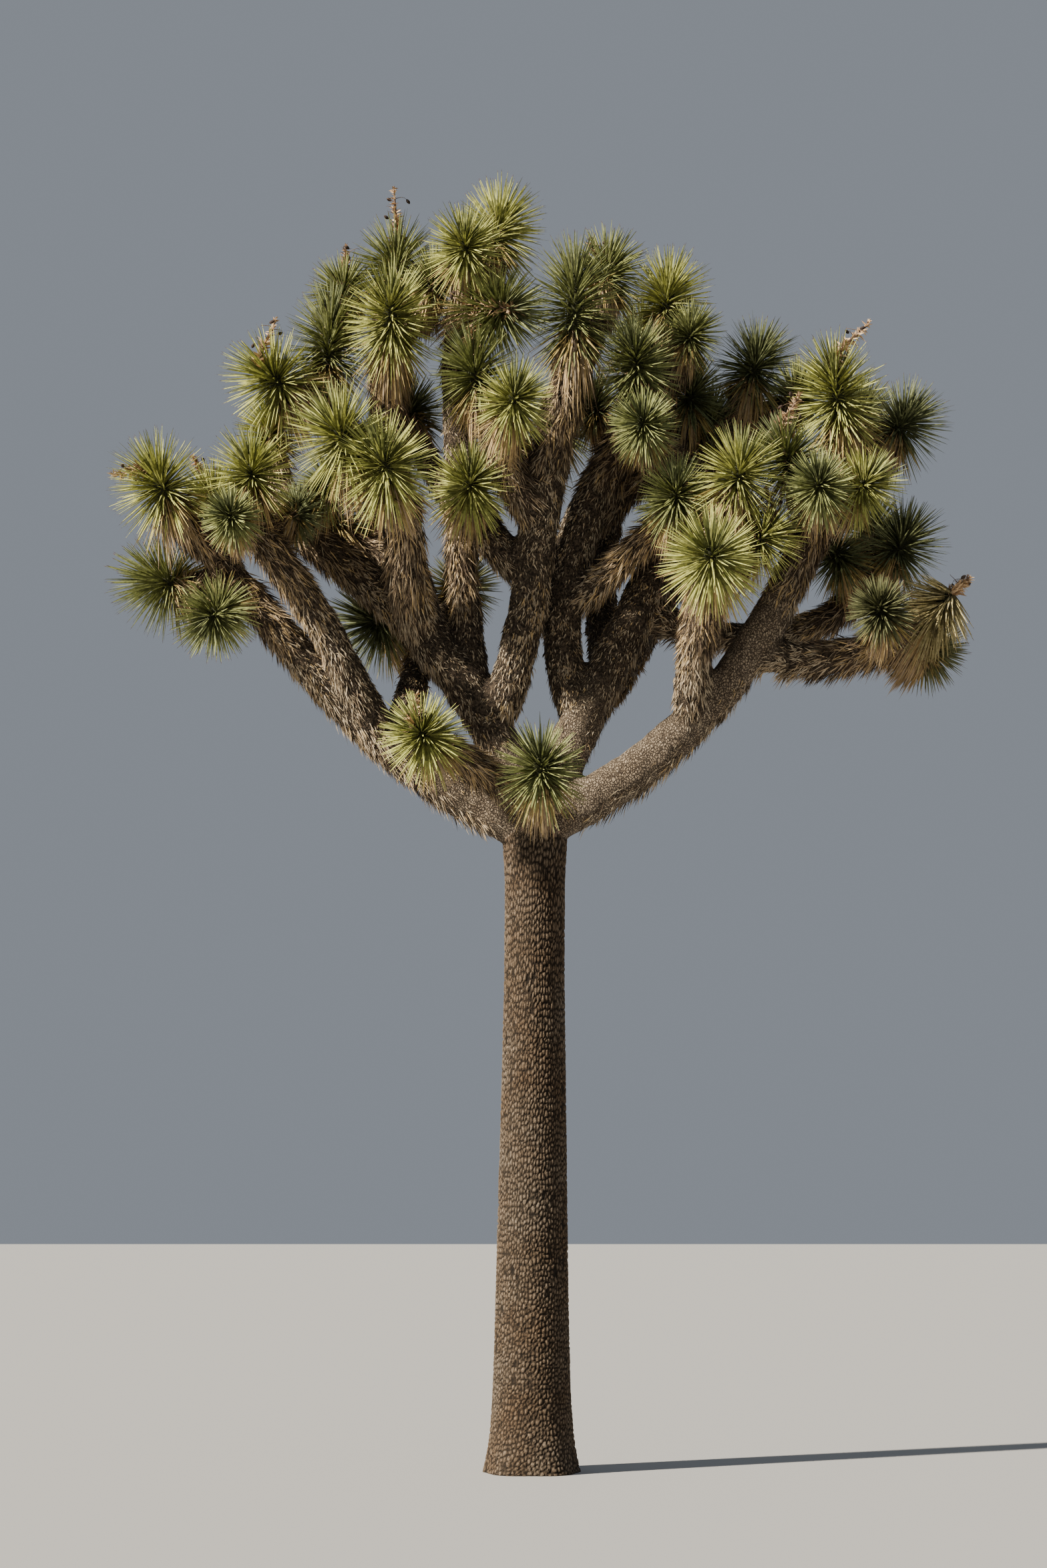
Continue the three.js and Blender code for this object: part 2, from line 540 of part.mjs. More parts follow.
// Each mass is fused from its stem, its arms and their stalks.
masses.forEach((mass, index) => {
  const stemCutters = [...limbCutters, ...armCutters.slice(0, index).flat()];
  const cutters = [...limbCutters, ...armCutters.filter((_, place) => place !== index).flat()];
  const stem = cutClear(limbSolid(mass.stem), stemCutters);
  const grown = mass.arms.map((arm) => growArm(arm, cutters));
  const stalks = mass.arms.filter((arm) => arm.head.stalk.length)
    .map((arm) => cutClear(stalkSolid(arm.head), cutters));
  const joined = [stem, ...grown, ...stalks].reduce((whole, piece) => whole.add(piece));
  tree.add(meshOf(mass.name, mainBody(joined).simplify(SMOOTHING), foliage));
});

export default tree;
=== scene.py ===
import math
from collections import namedtuple
from types import SimpleNamespace

import bpy
import numpy as np
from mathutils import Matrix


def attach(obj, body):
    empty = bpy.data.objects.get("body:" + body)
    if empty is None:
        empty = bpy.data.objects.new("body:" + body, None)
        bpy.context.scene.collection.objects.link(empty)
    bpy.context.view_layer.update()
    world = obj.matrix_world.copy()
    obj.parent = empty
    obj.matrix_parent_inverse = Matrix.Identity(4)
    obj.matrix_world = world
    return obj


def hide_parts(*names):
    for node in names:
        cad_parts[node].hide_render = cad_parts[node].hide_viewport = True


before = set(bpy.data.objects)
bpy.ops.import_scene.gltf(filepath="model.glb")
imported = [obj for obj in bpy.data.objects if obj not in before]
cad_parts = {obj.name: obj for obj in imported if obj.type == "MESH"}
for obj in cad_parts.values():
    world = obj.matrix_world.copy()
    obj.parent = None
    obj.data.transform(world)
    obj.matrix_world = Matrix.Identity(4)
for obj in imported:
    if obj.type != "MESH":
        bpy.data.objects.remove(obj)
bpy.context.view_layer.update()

# A Joshua tree dressed round its CAD model: corky bark, boughs thatched with dead leaves, and
# rosettes of stiff dagger leaves. The rows of BOUGHS and MASSES are in millimetres, as in the
# part's source, and other lengths are in metres, but for the camera's sensor. Angles are in
# radians, but in degrees for the leaves, camera and sun. The photo looks along +Y, so -X is left.
MM = 0.001
SEED = 7319
X_AXIS, Y_AXIS, UP = np.eye(3)
TINY = 1e-6
FAR = 9.0
TWO_TRIANGLES = ((0, 1, 2), (0, 2, 3))
HASH_CELL = (73856093, 19349663, 83492791)
HASH_SEED = 9973
HASH_SCRAMBLE = 1274126177
HASH_MASK = 0xFFFFFF

# Trunk, the same sizes as in the part's source
TRUNK_HEIGHT = 3.7
TRUNK_LEAN = 0.02
TRUNK_GROUND_RADIUS = 0.215
TRUNK_WAIST_RADIUS = 0.164
TRUNK_WAIST_SHARE = 0.72
FLARE_RADIUS = 0.046
FLARE_HEIGHT = 0.19
FLARE_LOBES = 5
LOBE_DEPTH = 0.3
CROWN_SWELL = 0.014
CROWN_SWELL_SHARES = (0.86, 0.95)
DOME_SHARE = 0.96
DOME_DEPTH = 0.6

# Bark relief: corky plates parted by dark fissures
TRUNK_RINGS = 420
TRUNK_SIDES = 228
TRUNK_BARK_TOP = 0.965
TRUNK_SEAM_SHARES = (0.935, 0.965)
SEAM_DEPTH = 0.03
PLATES_AROUND = 68
PLATE_HEIGHT = 0.026
PLATE_STRETCH = 0.24
PLATE_RELIEF = 0.009
PLATE_MIDDLE = 0.55
PLATE_JITTER = (0.15, 0.85)
PLATE_WARP = 0.35
PLATE_WARP_SIZES = (0.05, 0.07)
FISSURE_SHARE = 0.44
SWELL_SIZES = (0.16, 0.02)
SWELL_SHARE = 0.22

# Boughs, the same rules as in the part's source
HANDLE_SHARE = 0.36
COLLAR_GAIN = 0.14
COLLAR_LENGTH = 0.26
FOOT_SHARE = 0.6
FOOT_DEPTH = 0.8
CURVE_STEPS = 160
LIMB_STEPS = 24
STEEPEST = 0.9
BARE_EDGE = (-0.15, 0.1)
SKIN_SHARE = 0.85
SKIN_VOXEL = 0.0205
SKIN_SMOOTHING = 6
SKIN_SIDES = 16
SKIN_RING_SPACING = 0.04
SKIN_LUMPS = ((0.14, 0.009), (0.05, 0.006))
STUB_SKIN_SHARE = 0.93
FRESH_LENGTHS = (0.55, 0.15)
TRUNK_SKIN_SHARES = (0.86, 1.0)
TRUNK_SKIN_INSET = 0.006
TRUNK_SKIN_RINGS = 16
TRUNK_SKIN_SIDES = 38
ALL_BARE = 2

# Arms and rosettes, the same rules as in the part's source
TIP_GAP = 0.00035
HUB_SHARE = 1.15
HUB_OVERLAP = 0.4
HUB_TAPER = 0.25
HUB_RINGS = 8
HUB_START = -0.3
HUB_END_SHARE = 0.7
ARM_FOOT_SHARE = 0.82
ARM_BEND = 0.35
HEAD_LIFT = 0.45
ASIDE = (0.3, 0.2, 1)
CORE_SHARE = 0.34
CORE_OVERHANG = 1.15
CORE_ALONG = (-1.0, -0.66, -0.22, 0.27, 0.74, 0.96, 1.0)
CORE_GIRTH = (0.8, 0.92, 1.0, 0.98, 0.72, 0.3, 0.0)
LEAF_ANGLES = (146, 128, 98, 66, 36, 14, 3)
CORE_SKIN_SHARE = 0.45
CORE_SKIN_LENGTH = 0.95
CORE_SKIN_SIDES = 12
CORE_LEAST_GIRTH = 0.02
LEAF_BASE_SHARE = 0.5
FAN_HEADS = 3
FAN_DISTANCE = 0.4
FAN_SPREAD = 0.62
FAN_REACH = 0.265

# Leaves at their real size. The lowest of a rosette are old: they sag and turn yellow.
LEAVES_PER_HEAD = 410
STEM_LEAF_SHARE = 0.25
LEAF_TABLE_STEPS = 60
FIRST_TURN = 6.28
LEAF_WIDTH = 0.0128
LEAF_WIDTH_GAINS = (0.85, 1.15)
LEAF_SHARES = (0, 0.4, 0.93)
LEAF_WIDTHS = (1.0, 0.86, 0.2)
LEAF_FOLD = 0.24
# The inner part of each leaf takes its tint darkened by this much: painted shade for the inside of a
# rosette.
LEAF_INNER_PAINTED_SHADE = 0.52
LEAF_LENGTH_SPREAD = 0.22
LEAF_LENGTH_GAIN = 1.08
LEAF_AIM_SPREAD = 0.13
LEAF_LAST_ALONG = -0.8
LEAF_TOP_WEIGHT = 0.16
LEAF_SAG = 0.05
LEAF_SAG_GAINS = (0.3, 1)
LEAF_ROLL = 0.5
TOP_LEAF_ALONG = (0.8, 1.0)
TOP_LEAF_LENGTH = 0.8
YOUNG_ALONG = (0.55, 0.9)
LEAF_CROSSING = 0.22
LEAF_TEST_SHARES = (0.45, 0.7, 0.9, 1.0)
LEAF_CUT = 0.8
LIMB_CLEARANCE = 0.8
SHORTEST_LEAF = 0.45
OLD_ALONG = -0.45
OLD_SHARE = 0.55
OLD_SAG = 0.24
OLD_SAG_ALONG = (-0.7, 0.3)
DRY_COMB = (-0.75, 0.0, -0.7)
GOLDEN_ANGLE = math.radians(137.508)

# Thatch of dead leaves, in tufts that lie back along the limb and hang from its underside
TUFTS_PER_SKIN_POINT = 0.265
BLADES_PER_TUFT = 8
TUFT_SPREAD = 0.016
TUFT_DEPTH = 0.005
TUFT_TURN = 0.3
BLADE_TURN = 0.2
BLADE_TILT = 0.1
FRINGE_FIRST_SHARE = 0.12
FRINGE_SHARE = 0.4
FRINGE_UNDER = (0.3, 0.9)
THATCH_LENGTH = (0.06, 0.14)
STUBBLE_LENGTH = (0.022, 0.05)
STUBBLE_GAINS = (0.9, 2.4)
THATCH_WIDTH = 0.0085
THATCH_WIDTH_GAINS = (0.6, 1.2)
STUBBLE_WIDTH = 0.008
THATCH_LIFT = (0.08, 0.5)
THATCH_LIFT_POWER = 1.8
THATCH_HANG = (0.05, 1.3)
THATCH_HANG_POWER = 1.5
TOP_HANG_SHARE = 0.15
LEAST_RISE = 0.1
THATCH_RUFFLE = 0.4
WORN_PATCH = 0.2
WORN_SPREAD = 0.2
THATCH_SHARES = ((0.03, 0.22, 0.70), (0.14, 0.44, 0.50))
THATCH_SAG = 0.12
SKIRT_BLADES = (120, 200)
SKIRT_WIDTH = 0.011
SKIRT_WIDTH_GAINS = (0.7, 1.2)
SKIRT_LENGTH = (0.15, 0.29)
SKIRT_BACK = (0.45, 1.25)
SKIRT_LIFT = (0.08, 0.6)
SKIRT_LIFT_LOSS = 0.5
SKIRT_RUFFLE = 0.3
SKIRT_BASE_SHARE = 0.7
SKIRT_HANG = 0.5
SKIRT_STRAW = (0.35, 0.85)
SKIRT_SHARES = (0.9, 0.04, 0.06)
KITE_SHARE = 0.35

# Dry flower stalks: a woody spike with husks, a few thin twigs, and seed pods on some of them
STALK_RADII = (0.013, 0.004)
STALK_FOOT_SHARE = 0.8
STALK_RISE = 0.3
STALK_MESH = (8, 7)
HUSKS_PER_STALK = 150
HUSK_LENGTHS = (0.085, 0.03)
HUSK_LENGTH_GAINS = (0.6, 1.2)
HUSK_WIDTHS = (0.021, 0.009)
HUSK_POWER = 1.3
HUSK_LAST_SHARE = 0.98
HUSK_LIFT = (0.25, 1.5)
HUSK_SAG = 0.3
HUSK_RUFFLE = 0.5
TWIGS_PER_STALK = 8
TWIG_SHARES = (0.35, 0.9)
TWIG_RISE = (-0.1, 0.6)
TWIG_CURL = -0.6
TWIG_LENGTH = (0.04, 0.10)
TWIG_RADII = (0.0022, 0.0011)
TWIG_MESH = (6, 5)
POD_LENGTH = 0.034
POD_RADIUS = 0.010
POD_SIDES = 8
POD_ALONG = (0.0, 0.25, 0.6, 0.9, 1.0)
POD_GIRTH = (0.25, 0.85, 1.0, 0.55, 0.1)

# Camera: the photo's frame is 1568 by 2349 pixels, with a focal length of 4859 pixels. The
# sensor is in millimetres, as Blender takes it.
PHOTO_HEIGHT = 2349
FOCAL_PIXELS = 4859
SENSOR = 36.0
CAMERA_PLACE = (-0.044, -18.0, 1.6)
CAMERA_TILT = 6.9
CAMERA_SIGHT = 300

# on: the limb it grows on; at: share of that limb's length; tip: its end; leaves and ends: the
# directions it sets out and finishes in; girth: its radius at foot and tip, thatch included;
# bare: the share of its length from the foot that shows bark.
Bough = namedtuple("Bough", "name on at tip leaves ends girth bare", defaults=[0])
BOUGHS = [Bough(*row) for row in (
    ("bough_left", "trunk", 0.955, (-1600, -200, 4860),
     (-1, -0.05, 0.36), (-0.62, -0.1, 0.78), (138, 94), 0.28),
    ("bough_right", "trunk", 0.955, (1540, -350, 5170),
     (1, -0.1, 0.42), (0.3, -0.15, 0.95), (128, 104), 0.85),
    ("stem_left", "trunk", 0.975, (-1250, 50, 5190),
     (-0.4, 0, 0.9), (-0.8, 0, 0.55), (130, 104), 0.22),
    ("stem_right", "trunk", 0.975, (1000, 300, 5650),
     (0.45, 0, 0.9), (0.4, 0.2, 0.9), (130, 112), 0.32),
    ("bough_left_inner", "bough_left", 0.45, (-1450, -450, 5050),
     (-0.5, -0.35, 0.8), (-0.65, -0.1, 0.75), (94, 96)),
    ("bough_left_rear", "bough_left", 0.43, (-620, 750, 4750),
     (0.25, 0.8, 0.8), (0.1, 0.75, 0.6), (90, 84)),
    ("bough_left_low", "stem_left", 0.575, (-690, -350, 5080),
     (-0.45, -0.6, 0.8), (0.05, -0.4, 0.9), (108, 122)),
    ("bough_left_high", "stem_left", 0.5, (-810, 100, 6100),
     (-0.4, 0.4, 0.85), (0.03, -0.05, 1), (104, 118)),
    ("bough_left_shoulder", "bough_left_high", 0.62, (-1120, 0, 5870),
     (-0.6, -0.25, 0.8), (-0.65, -0.1, 0.75), (88, 92)),
    ("bough_left_slim", "stem_left", 0.33, (-400, 40, 5170),
     (-0.12, 0.3, 0.95), (-0.05, -0.15, 1), (86, 92)),
    ("bough_centre", "stem_left", 0.27, (180, -250, 5890),
     (0.45, -0.2, 0.85), (0.3, -0.15, 0.92), (106, 128)),
    ("bough_top", "bough_centre", 0.48, (-370, 0, 6500),
     (-0.8, 0.25, 0.5), (0.12, -0.1, 1), (96, 112)),
    ("bough_centre_near", "bough_centre", 0.63, (-170, -320, 5600),
     (-0.5, -0.5, 0.7), (-0.3, -0.2, 0.9), (90, 98)),
    ("bough_centre_right", "stem_right", 0.26, (570, 100, 5780),
     (-0.4, 0.15, 0.9), (0.6, 0, 0.8), (108, 132)),
    ("bough_right_shoulder", "bough_centre_right", 0.66, (690, 230, 5620),
     (0.7, 0.35, 0.5), (0.8, 0.2, 0.5), (88, 96)),
    ("bough_right_arm", "bough_centre_right", 0.4, (700, -150, 5190),
     (0.95, -0.3, 0.2), (0.8, -0.25, 0.5), (84, 88)),
    ("bough_right_rear", "stem_right", 0.41, (520, 800, 5740),
     (-0.1, 0.8, 0.6), (0.25, 0.3, 0.9), (92, 96)),
    ("bough_right_level", "stem_right", 0.585, (1860, 350, 4900),
     (0.8, 0.35, -0.45), (0.7, 0.1, 0.7), (86, 88)),
    ("bough_right_near", "bough_right", 0.45, (970, -450, 4820),
     (-0.05, -0.5, 0.85), (0.15, -0.15, 0.97), (96, 116)),
    ("bough_right_high", "bough_right", 0.87, (1770, 50, 5540),
     (0.45, 0.5, 0.7), (0.4, 0.35, 0.85), (88, 92)),
    ("bough_right_low", "bough_right", 0.67, (1930, -300, 4520),
     (0.9, 0, -0.15), (0.88, -0.05, 0.35), (88, 112), 0.2),
    ("spur_near", "trunk", 0.955, (45, -360, 3680),
     (0.1, -1, 0.15), (0.05, -0.9, 0.3), (84, 84)),
    ("spur_left", "trunk", 0.985, (-430, -470, 3900),
     (-0.6, -0.75, 0.4), (-0.7, -0.65, 0.3), (86, 84)),
    ("bough_back_left", "stem_left", 0.24, (-820, 1200, 5240),
     (-0.25, 0.85, 0.6), (-0.5, 0.6, 0.7), (100, 98)),
    ("bough_back_centre", "bough_centre_right", 0.27, (20, 1100, 5660),
     (-0.05, 0.8, 0.65), (-0.05, 0.6, 0.8), (96, 98)),
    ("bough_back_right", "stem_right", 0.31, (860, 1100, 5180),
     (0.4, 0.85, 0.45), (0.4, 0.6, 0.75), (100, 98)),
)]

# Each mass is the group of rosettes at one bough's tip. tints: one letter for each head, a key of
# LEAF_TINTS. A head is x, y, z, the reach of its leaves, the length of its leafy stem, and how far
# a dry stalk's tip stands aside and above. Eight slight stalks are only here. skirt: how many times
# the usual number of dead leaves hangs under each head; combed: whether they lean to one side. A
# mass without heads fans them out round its bough. on: its bough, where that one's name isn't the
# mass's own with bough for rosettes.
Mass = namedtuple("Mass", "name tints heads on skirt combed", defaults=[None, None, 1, False])
# The tint letters are partly each head's own colour and partly painted light: heads in the light take
# the bright tints and heads in shade the dark ones.
MASSES = [
    Mass("rosettes_left_tip", "yygg", [
        (-2040, -400, 5380, 315, 0, -290, 80), (-1790, 10, 5370, 260, 0, -130, 290),
        (-2040, -100, 4900, 310), (-1740, -330, 4690, 260)], on="bough_left"),
    Mass("rosettes_left_inner", "ygb", [
        (-1530, -600, 5410, 270), (-1620, -800, 5130, 185), (-1310, -190, 5280, 195)]),
    Mass("rosettes_left_stem", "gyg", [
        (-1150, -150, 5440, 215), (-1490, 150, 5810, 225), (-1530, 450, 5500, 240)], on="stem_left"),
    Mass("rosettes_left_low", "yy", [
        (-1025, -780, 5565, 330), (-790, -850, 5390, 315)]),
    Mass("rosettes_left_shoulder", "ygg", [
        (-1430, -150, 6040, 315, 0, -10, 370), (-1150, 20, 6280, 285, 240),
        (-1090, 370, 6690, 240, 0, 10, 290)]),
    Mass("rosettes_left_high", "ygg", [
        (-790, -200, 6370, 300, 160), (-780, 250, 6800, 290, 60, -15, 500),
        (-560, 30, 6660, 230)], skirt=3),
    Mass("rosettes_left_slim", "yb", [
        (-340, -320, 5400, 275), (-710, 500, 6020, 250)]),
    Mass("rosettes_left_rear", "boo", [
        (-880, 600, 4790, 310), (-420, 1080, 5080, 255), (-800, 1130, 4930, 255)]),
    Mass("rosettes_top", "yyg", [
        (-370, -300, 6760, 260), (-200, 160, 6990, 290, 100),
        (-210, -230, 6430, 300, 180, -240, 90)], skirt=1.8),
    Mass("rosettes_centre", "gg", [
        (240, -330, 6410, 300, 280), (430, 150, 6740, 270, 60, -100, 190)], skirt=1.8),
    Mass("rosettes_centre_near", "gy", [
        (-310, -310, 6040, 280, 60, -10, 375), (-100, -620, 5810, 255)]),
    Mass("rosettes_centre_right", "gyg", [
        (590, -270, 6080, 265, 160), (780, 150, 6580, 285, 80), (900, -40, 6330, 210)], skirt=1.8),
    Mass("rosettes_right_shoulder", "bg", [
        (910, 130, 6020, 245), (620, -420, 5720, 225)]),
    Mass("rosettes_right_rear", "bgb", [
        (380, 900, 6150, 255), (660, 900, 6560, 260), (900, 1000, 5960, 255)]),
    Mass("rosettes_right_stem", "bbgb", [
        (1290, 300, 6230, 275, 60), (1040, 330, 5900, 245), (1560, 720, 6160, 250),
        (1260, 1100, 6050, 255)], on="stem_right"),
    Mass("rosettes_right_arm", "g", [
        (800, -370, 5330, 250)]),
    Mass("rosettes_right_near", "yyy", [
        (965, -850, 4890, 320), (1250, -560, 5060, 260, 0, 33, 300), (1130, -660, 5390, 290)]),
    Mass("rosettes_right_tip", "ggy", [
        (1420, -450, 5520, 255, 60, 60, 385), (1560, -720, 5310, 225),
        (1810, -560, 5350, 240)], on="bough_right"),
    Mass("rosettes_right_high", "ybb", [
        (1720, -150, 5940, 305, 180, 190, 460), (2110, 130, 5850, 280), (1930, 620, 6030, 250)]),
    Mass("rosettes_right_level", "bbg", [
        (1740, 180, 5110, 240), (2110, 290, 5180, 295), (2010, 740, 5340, 250)]),
    Mass("rosettes_right_low", "doo", [
        (2230, -360, 4690, 285, 60, 190, 200), (1900, -600, 4650, 205),
        (2210, -70, 4530, 240)], skirt=2.5, combed=True),
    Mass("rosette_spur_near", "g", [
        (50, -570, 3780, 278)], on="spur_near", skirt=0.4),
    Mass("rosette_spur_left", "y", [
        (-580, -640, 3960, 262, 0, -40, 235)], on="spur_left", skirt=0.5),
    Mass("rosettes_back_left", "gog"),
    Mass("rosettes_back_centre", "gyg"),
    Mass("rosettes_back_right", "bgg"),
]

# Base colours, linear: two near ones that are mottled together
# The tints are partly the leaves' own and partly painted light: the bright yellow-green stands for
# heads in sun, the darker blue-green and the olive for heads in shade.
LEAF_TINTS = {
    "y": ("leaves_yellow_green", (0.5, 0.505, 0.15), (0.29, 0.305, 0.095)),
    "g": ("leaves_green", (0.305, 0.325, 0.12), (0.165, 0.183, 0.071)),
    "b": ("leaves_blue_green", (0.196, 0.214, 0.098), (0.107, 0.123, 0.058)),
    "o": ("leaves_olive", (0.155, 0.157, 0.071), (0.083, 0.09, 0.042)),
    "a": ("leaves_old", (0.39, 0.3, 0.11), (0.28, 0.205, 0.075)),
    "d": ("leaves_dry", (0.5, 0.42, 0.215), (0.29, 0.255, 0.115)),
}
YOUNG_TINTS = {"y": "g", "g": "b"}
THATCH_TINTS = [
    ("thatch_straw", (0.5, 0.355, 0.17), (0.38, 0.265, 0.125)),
    ("thatch_tan", (0.39, 0.29, 0.18), (0.28, 0.205, 0.125)),
    ("thatch_grey", (0.44, 0.36, 0.25), (0.27, 0.215, 0.145)),
    ("thatch_brown", (0.085, 0.059, 0.038), (0.055, 0.038, 0.025)),
]
HUSK_TINTS = [
    ("husks_pale", (0.66, 0.48, 0.29), (0.54, 0.37, 0.21)),
    ("husks_tan", (0.43, 0.28, 0.15), (0.32, 0.2, 0.105)),
]
STALK_COLOURS = ((0.17, 0.11, 0.075), (0.11, 0.07, 0.05))
POD_COLOURS = ((0.05, 0.032, 0.024), (0.03, 0.02, 0.016))
# Near black: painted shade inside the rosettes, on the cores that the leaves' bases cover.
CORE_PAINTED_SHADE_COLOURS = ((0.035, 0.038, 0.016), (0.02, 0.022, 0.01))
SPINE_COLOUR = (0.1, 0.045, 0.025)
# Under the thatch: painted shade, dark speckles for the shadows between the blades.
THATCH_GAP_PAINTED_SHADES = ((0.4, (0.016, 0.011, 0.007)), (0.66, (0.095, 0.069, 0.046)))
# Crack to plate on bare boughs: the dark cracks are partly the bark's own colour and partly painted
# shade.
BOUGH_BARK_STOPS = ((0.0, (0.030, 0.022, 0.016)), (0.5, (0.15, 0.117, 0.085)),
                    (1.0, (0.30, 0.245, 0.18)))
# Fissure to plate: the near-black fissures are partly the bark's own darker colour and partly painted
# shade of their depth.
BARK_STOPS = ((0.0, (0.008, 0.006, 0.004)), (0.4, (0.032, 0.024, 0.016)),
              (0.8, (0.108, 0.085, 0.061)), (1.0, (0.175, 0.142, 0.106)))

# Noise values between which the two tones of a stain or of a leaf's mottle blend
TONE_PLACES = (0.3, 0.7)
MOTTLE_PLACES = (0.38, 0.62)

# Light and stage. An azimuth of 0 shines from the camera's side, and 90 from its left.
SUN_AZIMUTH = 60
SUN_ELEVATION = 33
SUN_STRENGTH = 12.0
SUN_SOFTNESS = 1.5
SUN_COLOUR = (1.0, 0.92, 0.78)
SKY_COLOUR = (0.8, 0.88, 1, 1)
SKY_STRENGTH = 0.29
FLOOR_COLOUR = (0.4, 0.395, 0.385)
FLOOR_SIZE = 120


def unit(vectors):
    vectors = np.asarray(vectors, float)
    return vectors / np.linalg.norm(vectors, axis=-1, keepdims=True)


def smoothstep(value, low, high):
    share = np.clip((value - low) / (high - low), 0, 1)
    return share * share * (3 - 2 * share)


def mix(first, second, share):
    return first + (second - first) * share


def swing(first, second, angle):
    """The direction turned by an angle from the first one toward the second."""
    return first * np.cos(angle)[..., None] + second * np.sin(angle)[..., None]


def lattice(cells, seed):
    """A repeatable number from 0 to 1 for each whole-numbered cell."""
    mixed = cells.astype(np.int64) @ np.array(HASH_CELL) + seed * HASH_SEED
    mixed = (mixed ^ (mixed >> 13)) * HASH_SCRAMBLE
    mixed = (mixed ^ (mixed >> 16)) & HASH_MASK
    return mixed / HASH_MASK


def noise(points, size, seed):
    """Smooth noise from -1 to 1 with features of that size."""
    spot = points / size
    low = np.floor(spot)
    part = spot - low
    part = part * part * (3 - 2 * part)
    total = np.zeros(len(points))
    for corner in np.ndindex(2, 2, 2):
        weight = np.prod(np.where(corner, part, 1 - part), axis=1)
        total += weight * lattice(low + np.array(corner), seed)
    return 2 * total - 1


def bark_plates(across, along, around, seed):
    """0 in a fissure and 1 on a plate, for cells that close after that many around."""
    column = np.floor(across)
    row = np.floor(along)
    nearest = np.full(len(across), FAR)
    second = nearest.copy()
    for step in np.ndindex(3, 3):
        x = column + step[0] - 1
        y = row + step[1] - 1
        cell = np.stack([x % around, y, np.zeros_like(y)], axis=1)
        x = x + mix(*PLATE_JITTER, lattice(cell, seed))
        y = y + lattice(cell, seed + 1)
        gap = np.hypot(across - x, along - y)
        second = np.minimum(second, np.maximum(gap, nearest))
        nearest = np.minimum(nearest, gap)
    return np.clip((second - nearest) / FISSURE_SHARE, 0, 1)


class Limb:
    """A tapering limb on a cubic Bezier, looked up by its share of length from the foot."""

    def __init__(self, name, foot, tip, leaves, ends):
        foot = np.asarray(foot, float)
        tip = np.asarray(tip, float)
        handle = HANDLE_SHARE * np.linalg.norm(tip - foot)
        self.name = name
        self.poles = np.stack([foot, foot + unit(leaves) * handle, tip - unit(ends) * handle, tip])
        self.times = np.linspace(0, 1, CURVE_STEPS + 1)
        steps = np.linalg.norm(np.diff(self.bezier(self.times), axis=0), axis=1)
        self.lengths = np.concatenate([[0], np.cumsum(steps)])
        self.length = self.lengths[-1]
        self.radius = None
        self.bare = 0

    def bezier(self, time):
        time = np.asarray(time)[..., None]
        back = 1 - time
        a, b, c, d = self.poles
        return a * back ** 3 + 3 * b * back ** 2 * time + 3 * c * back * time ** 2 + d * time ** 3

    def time(self, share):
        return np.interp(np.asarray(share) * self.length, self.lengths, self.times)

    def point(self, share):
        return self.bezier(self.time(share))

    def tangent(self, share):
        time = self.time(share)[..., None]
        back = 1 - time
        a, b, c, d = self.poles
        return unit((b - a) * back ** 2 + 2 * (c - b) * back * time + (d - c) * time ** 2)

    def frames(self, shares):
        """Points, tangents and two directions across that turn with the limb."""
        points = self.point(shares)
        tangents = self.tangent(shares)
        normals = np.empty_like(points)
        normal = X_AXIS
        for index, tangent in enumerate(tangents):
            if abs(normal @ tangent) > STEEPEST:
                normal = Y_AXIS
            normal = unit(normal - (normal @ tangent) * tangent)
            normals[index] = normal
        return points, tangents, normals, np.cross(tangents, normals)

    def wrapped(self, share):
        """0 where the bark is bare, 1 where dead leaves cover it."""
        if not self.bare:
            return np.ones_like(share)
        return smoothstep(share - self.bare, *BARE_EDGE)

    def fresh(self, share):
        """0 where only stubs are left of the dead leaves, 1 near the tip where they are whole."""
        return smoothstep((1 - share) * self.length, *FRESH_LENGTHS)

    def skin(self, share):
        """The radius of the wood under the dead leaves."""
        covered = mix(STUB_SKIN_SHARE, SKIN_SHARE, self.fresh(share))
        return self.radius(share) * mix(1, covered, self.wrapped(share))


def trunk_radius(share, angle):
    height = share * TRUNK_HEIGHT
    taper = np.minimum(1, share / TRUNK_WAIST_SHARE)
    flare = FLARE_RADIUS * np.exp(-height / FLARE_HEIGHT)
    lobes = 1 + LOBE_DEPTH * np.sin(FLARE_LOBES * angle)
    swell = CROWN_SWELL * smoothstep(share, *CROWN_SWELL_SHARES)
    dome = np.sqrt(1 - DOME_DEPTH * smoothstep(share, DOME_SHARE, 1))
    return (mix(TRUNK_GROUND_RADIUS, TRUNK_WAIST_RADIUS, taper) + flare * lobes + swell) * dome


def make_trunk():
    trunk = Limb("trunk", (0, 0, 0), (TRUNK_LEAN, 0, TRUNK_HEIGHT), UP, UP)
    trunk.radius = lambda share: trunk_radius(share, 0)
    trunk.bare = ALL_BARE
    return trunk


def make_bough(row, parent):
    foot = parent.point(row.at)
    limb = Limb(row.name, foot, np.array(row.tip) * MM, row.leaves, row.ends)
    depth = FOOT_DEPTH * parent.radius(row.at) / limb.length
    first, last = np.array(row.girth) * MM

    def radius(share):
        collar = 1 + COLLAR_GAIN * np.exp(-np.asarray(share) * limb.length / COLLAR_LENGTH)
        foothold = mix(FOOT_SHARE, 1, np.minimum(1, share / depth))
        return mix(first, last, share) * collar * foothold

    limb.radius = radius
    limb.bare = row.bare
    return limb


def fan_heads(hub, tangent):
    """The heads of a mass that the photo doesn't show, spread round its bough's direction."""
    across = unit(np.cross(tangent, X_AXIS))
    aside = np.cross(tangent, across)
    rows = []
    for index in range(FAN_HEADS):
        outward = swing(across, aside, 2 * math.pi * index / FAN_HEADS)
        place = hub + FAN_DISTANCE * unit(tangent + FAN_SPREAD * outward)
        rows.append((*(place / MM), FAN_REACH / MM))
    return rows


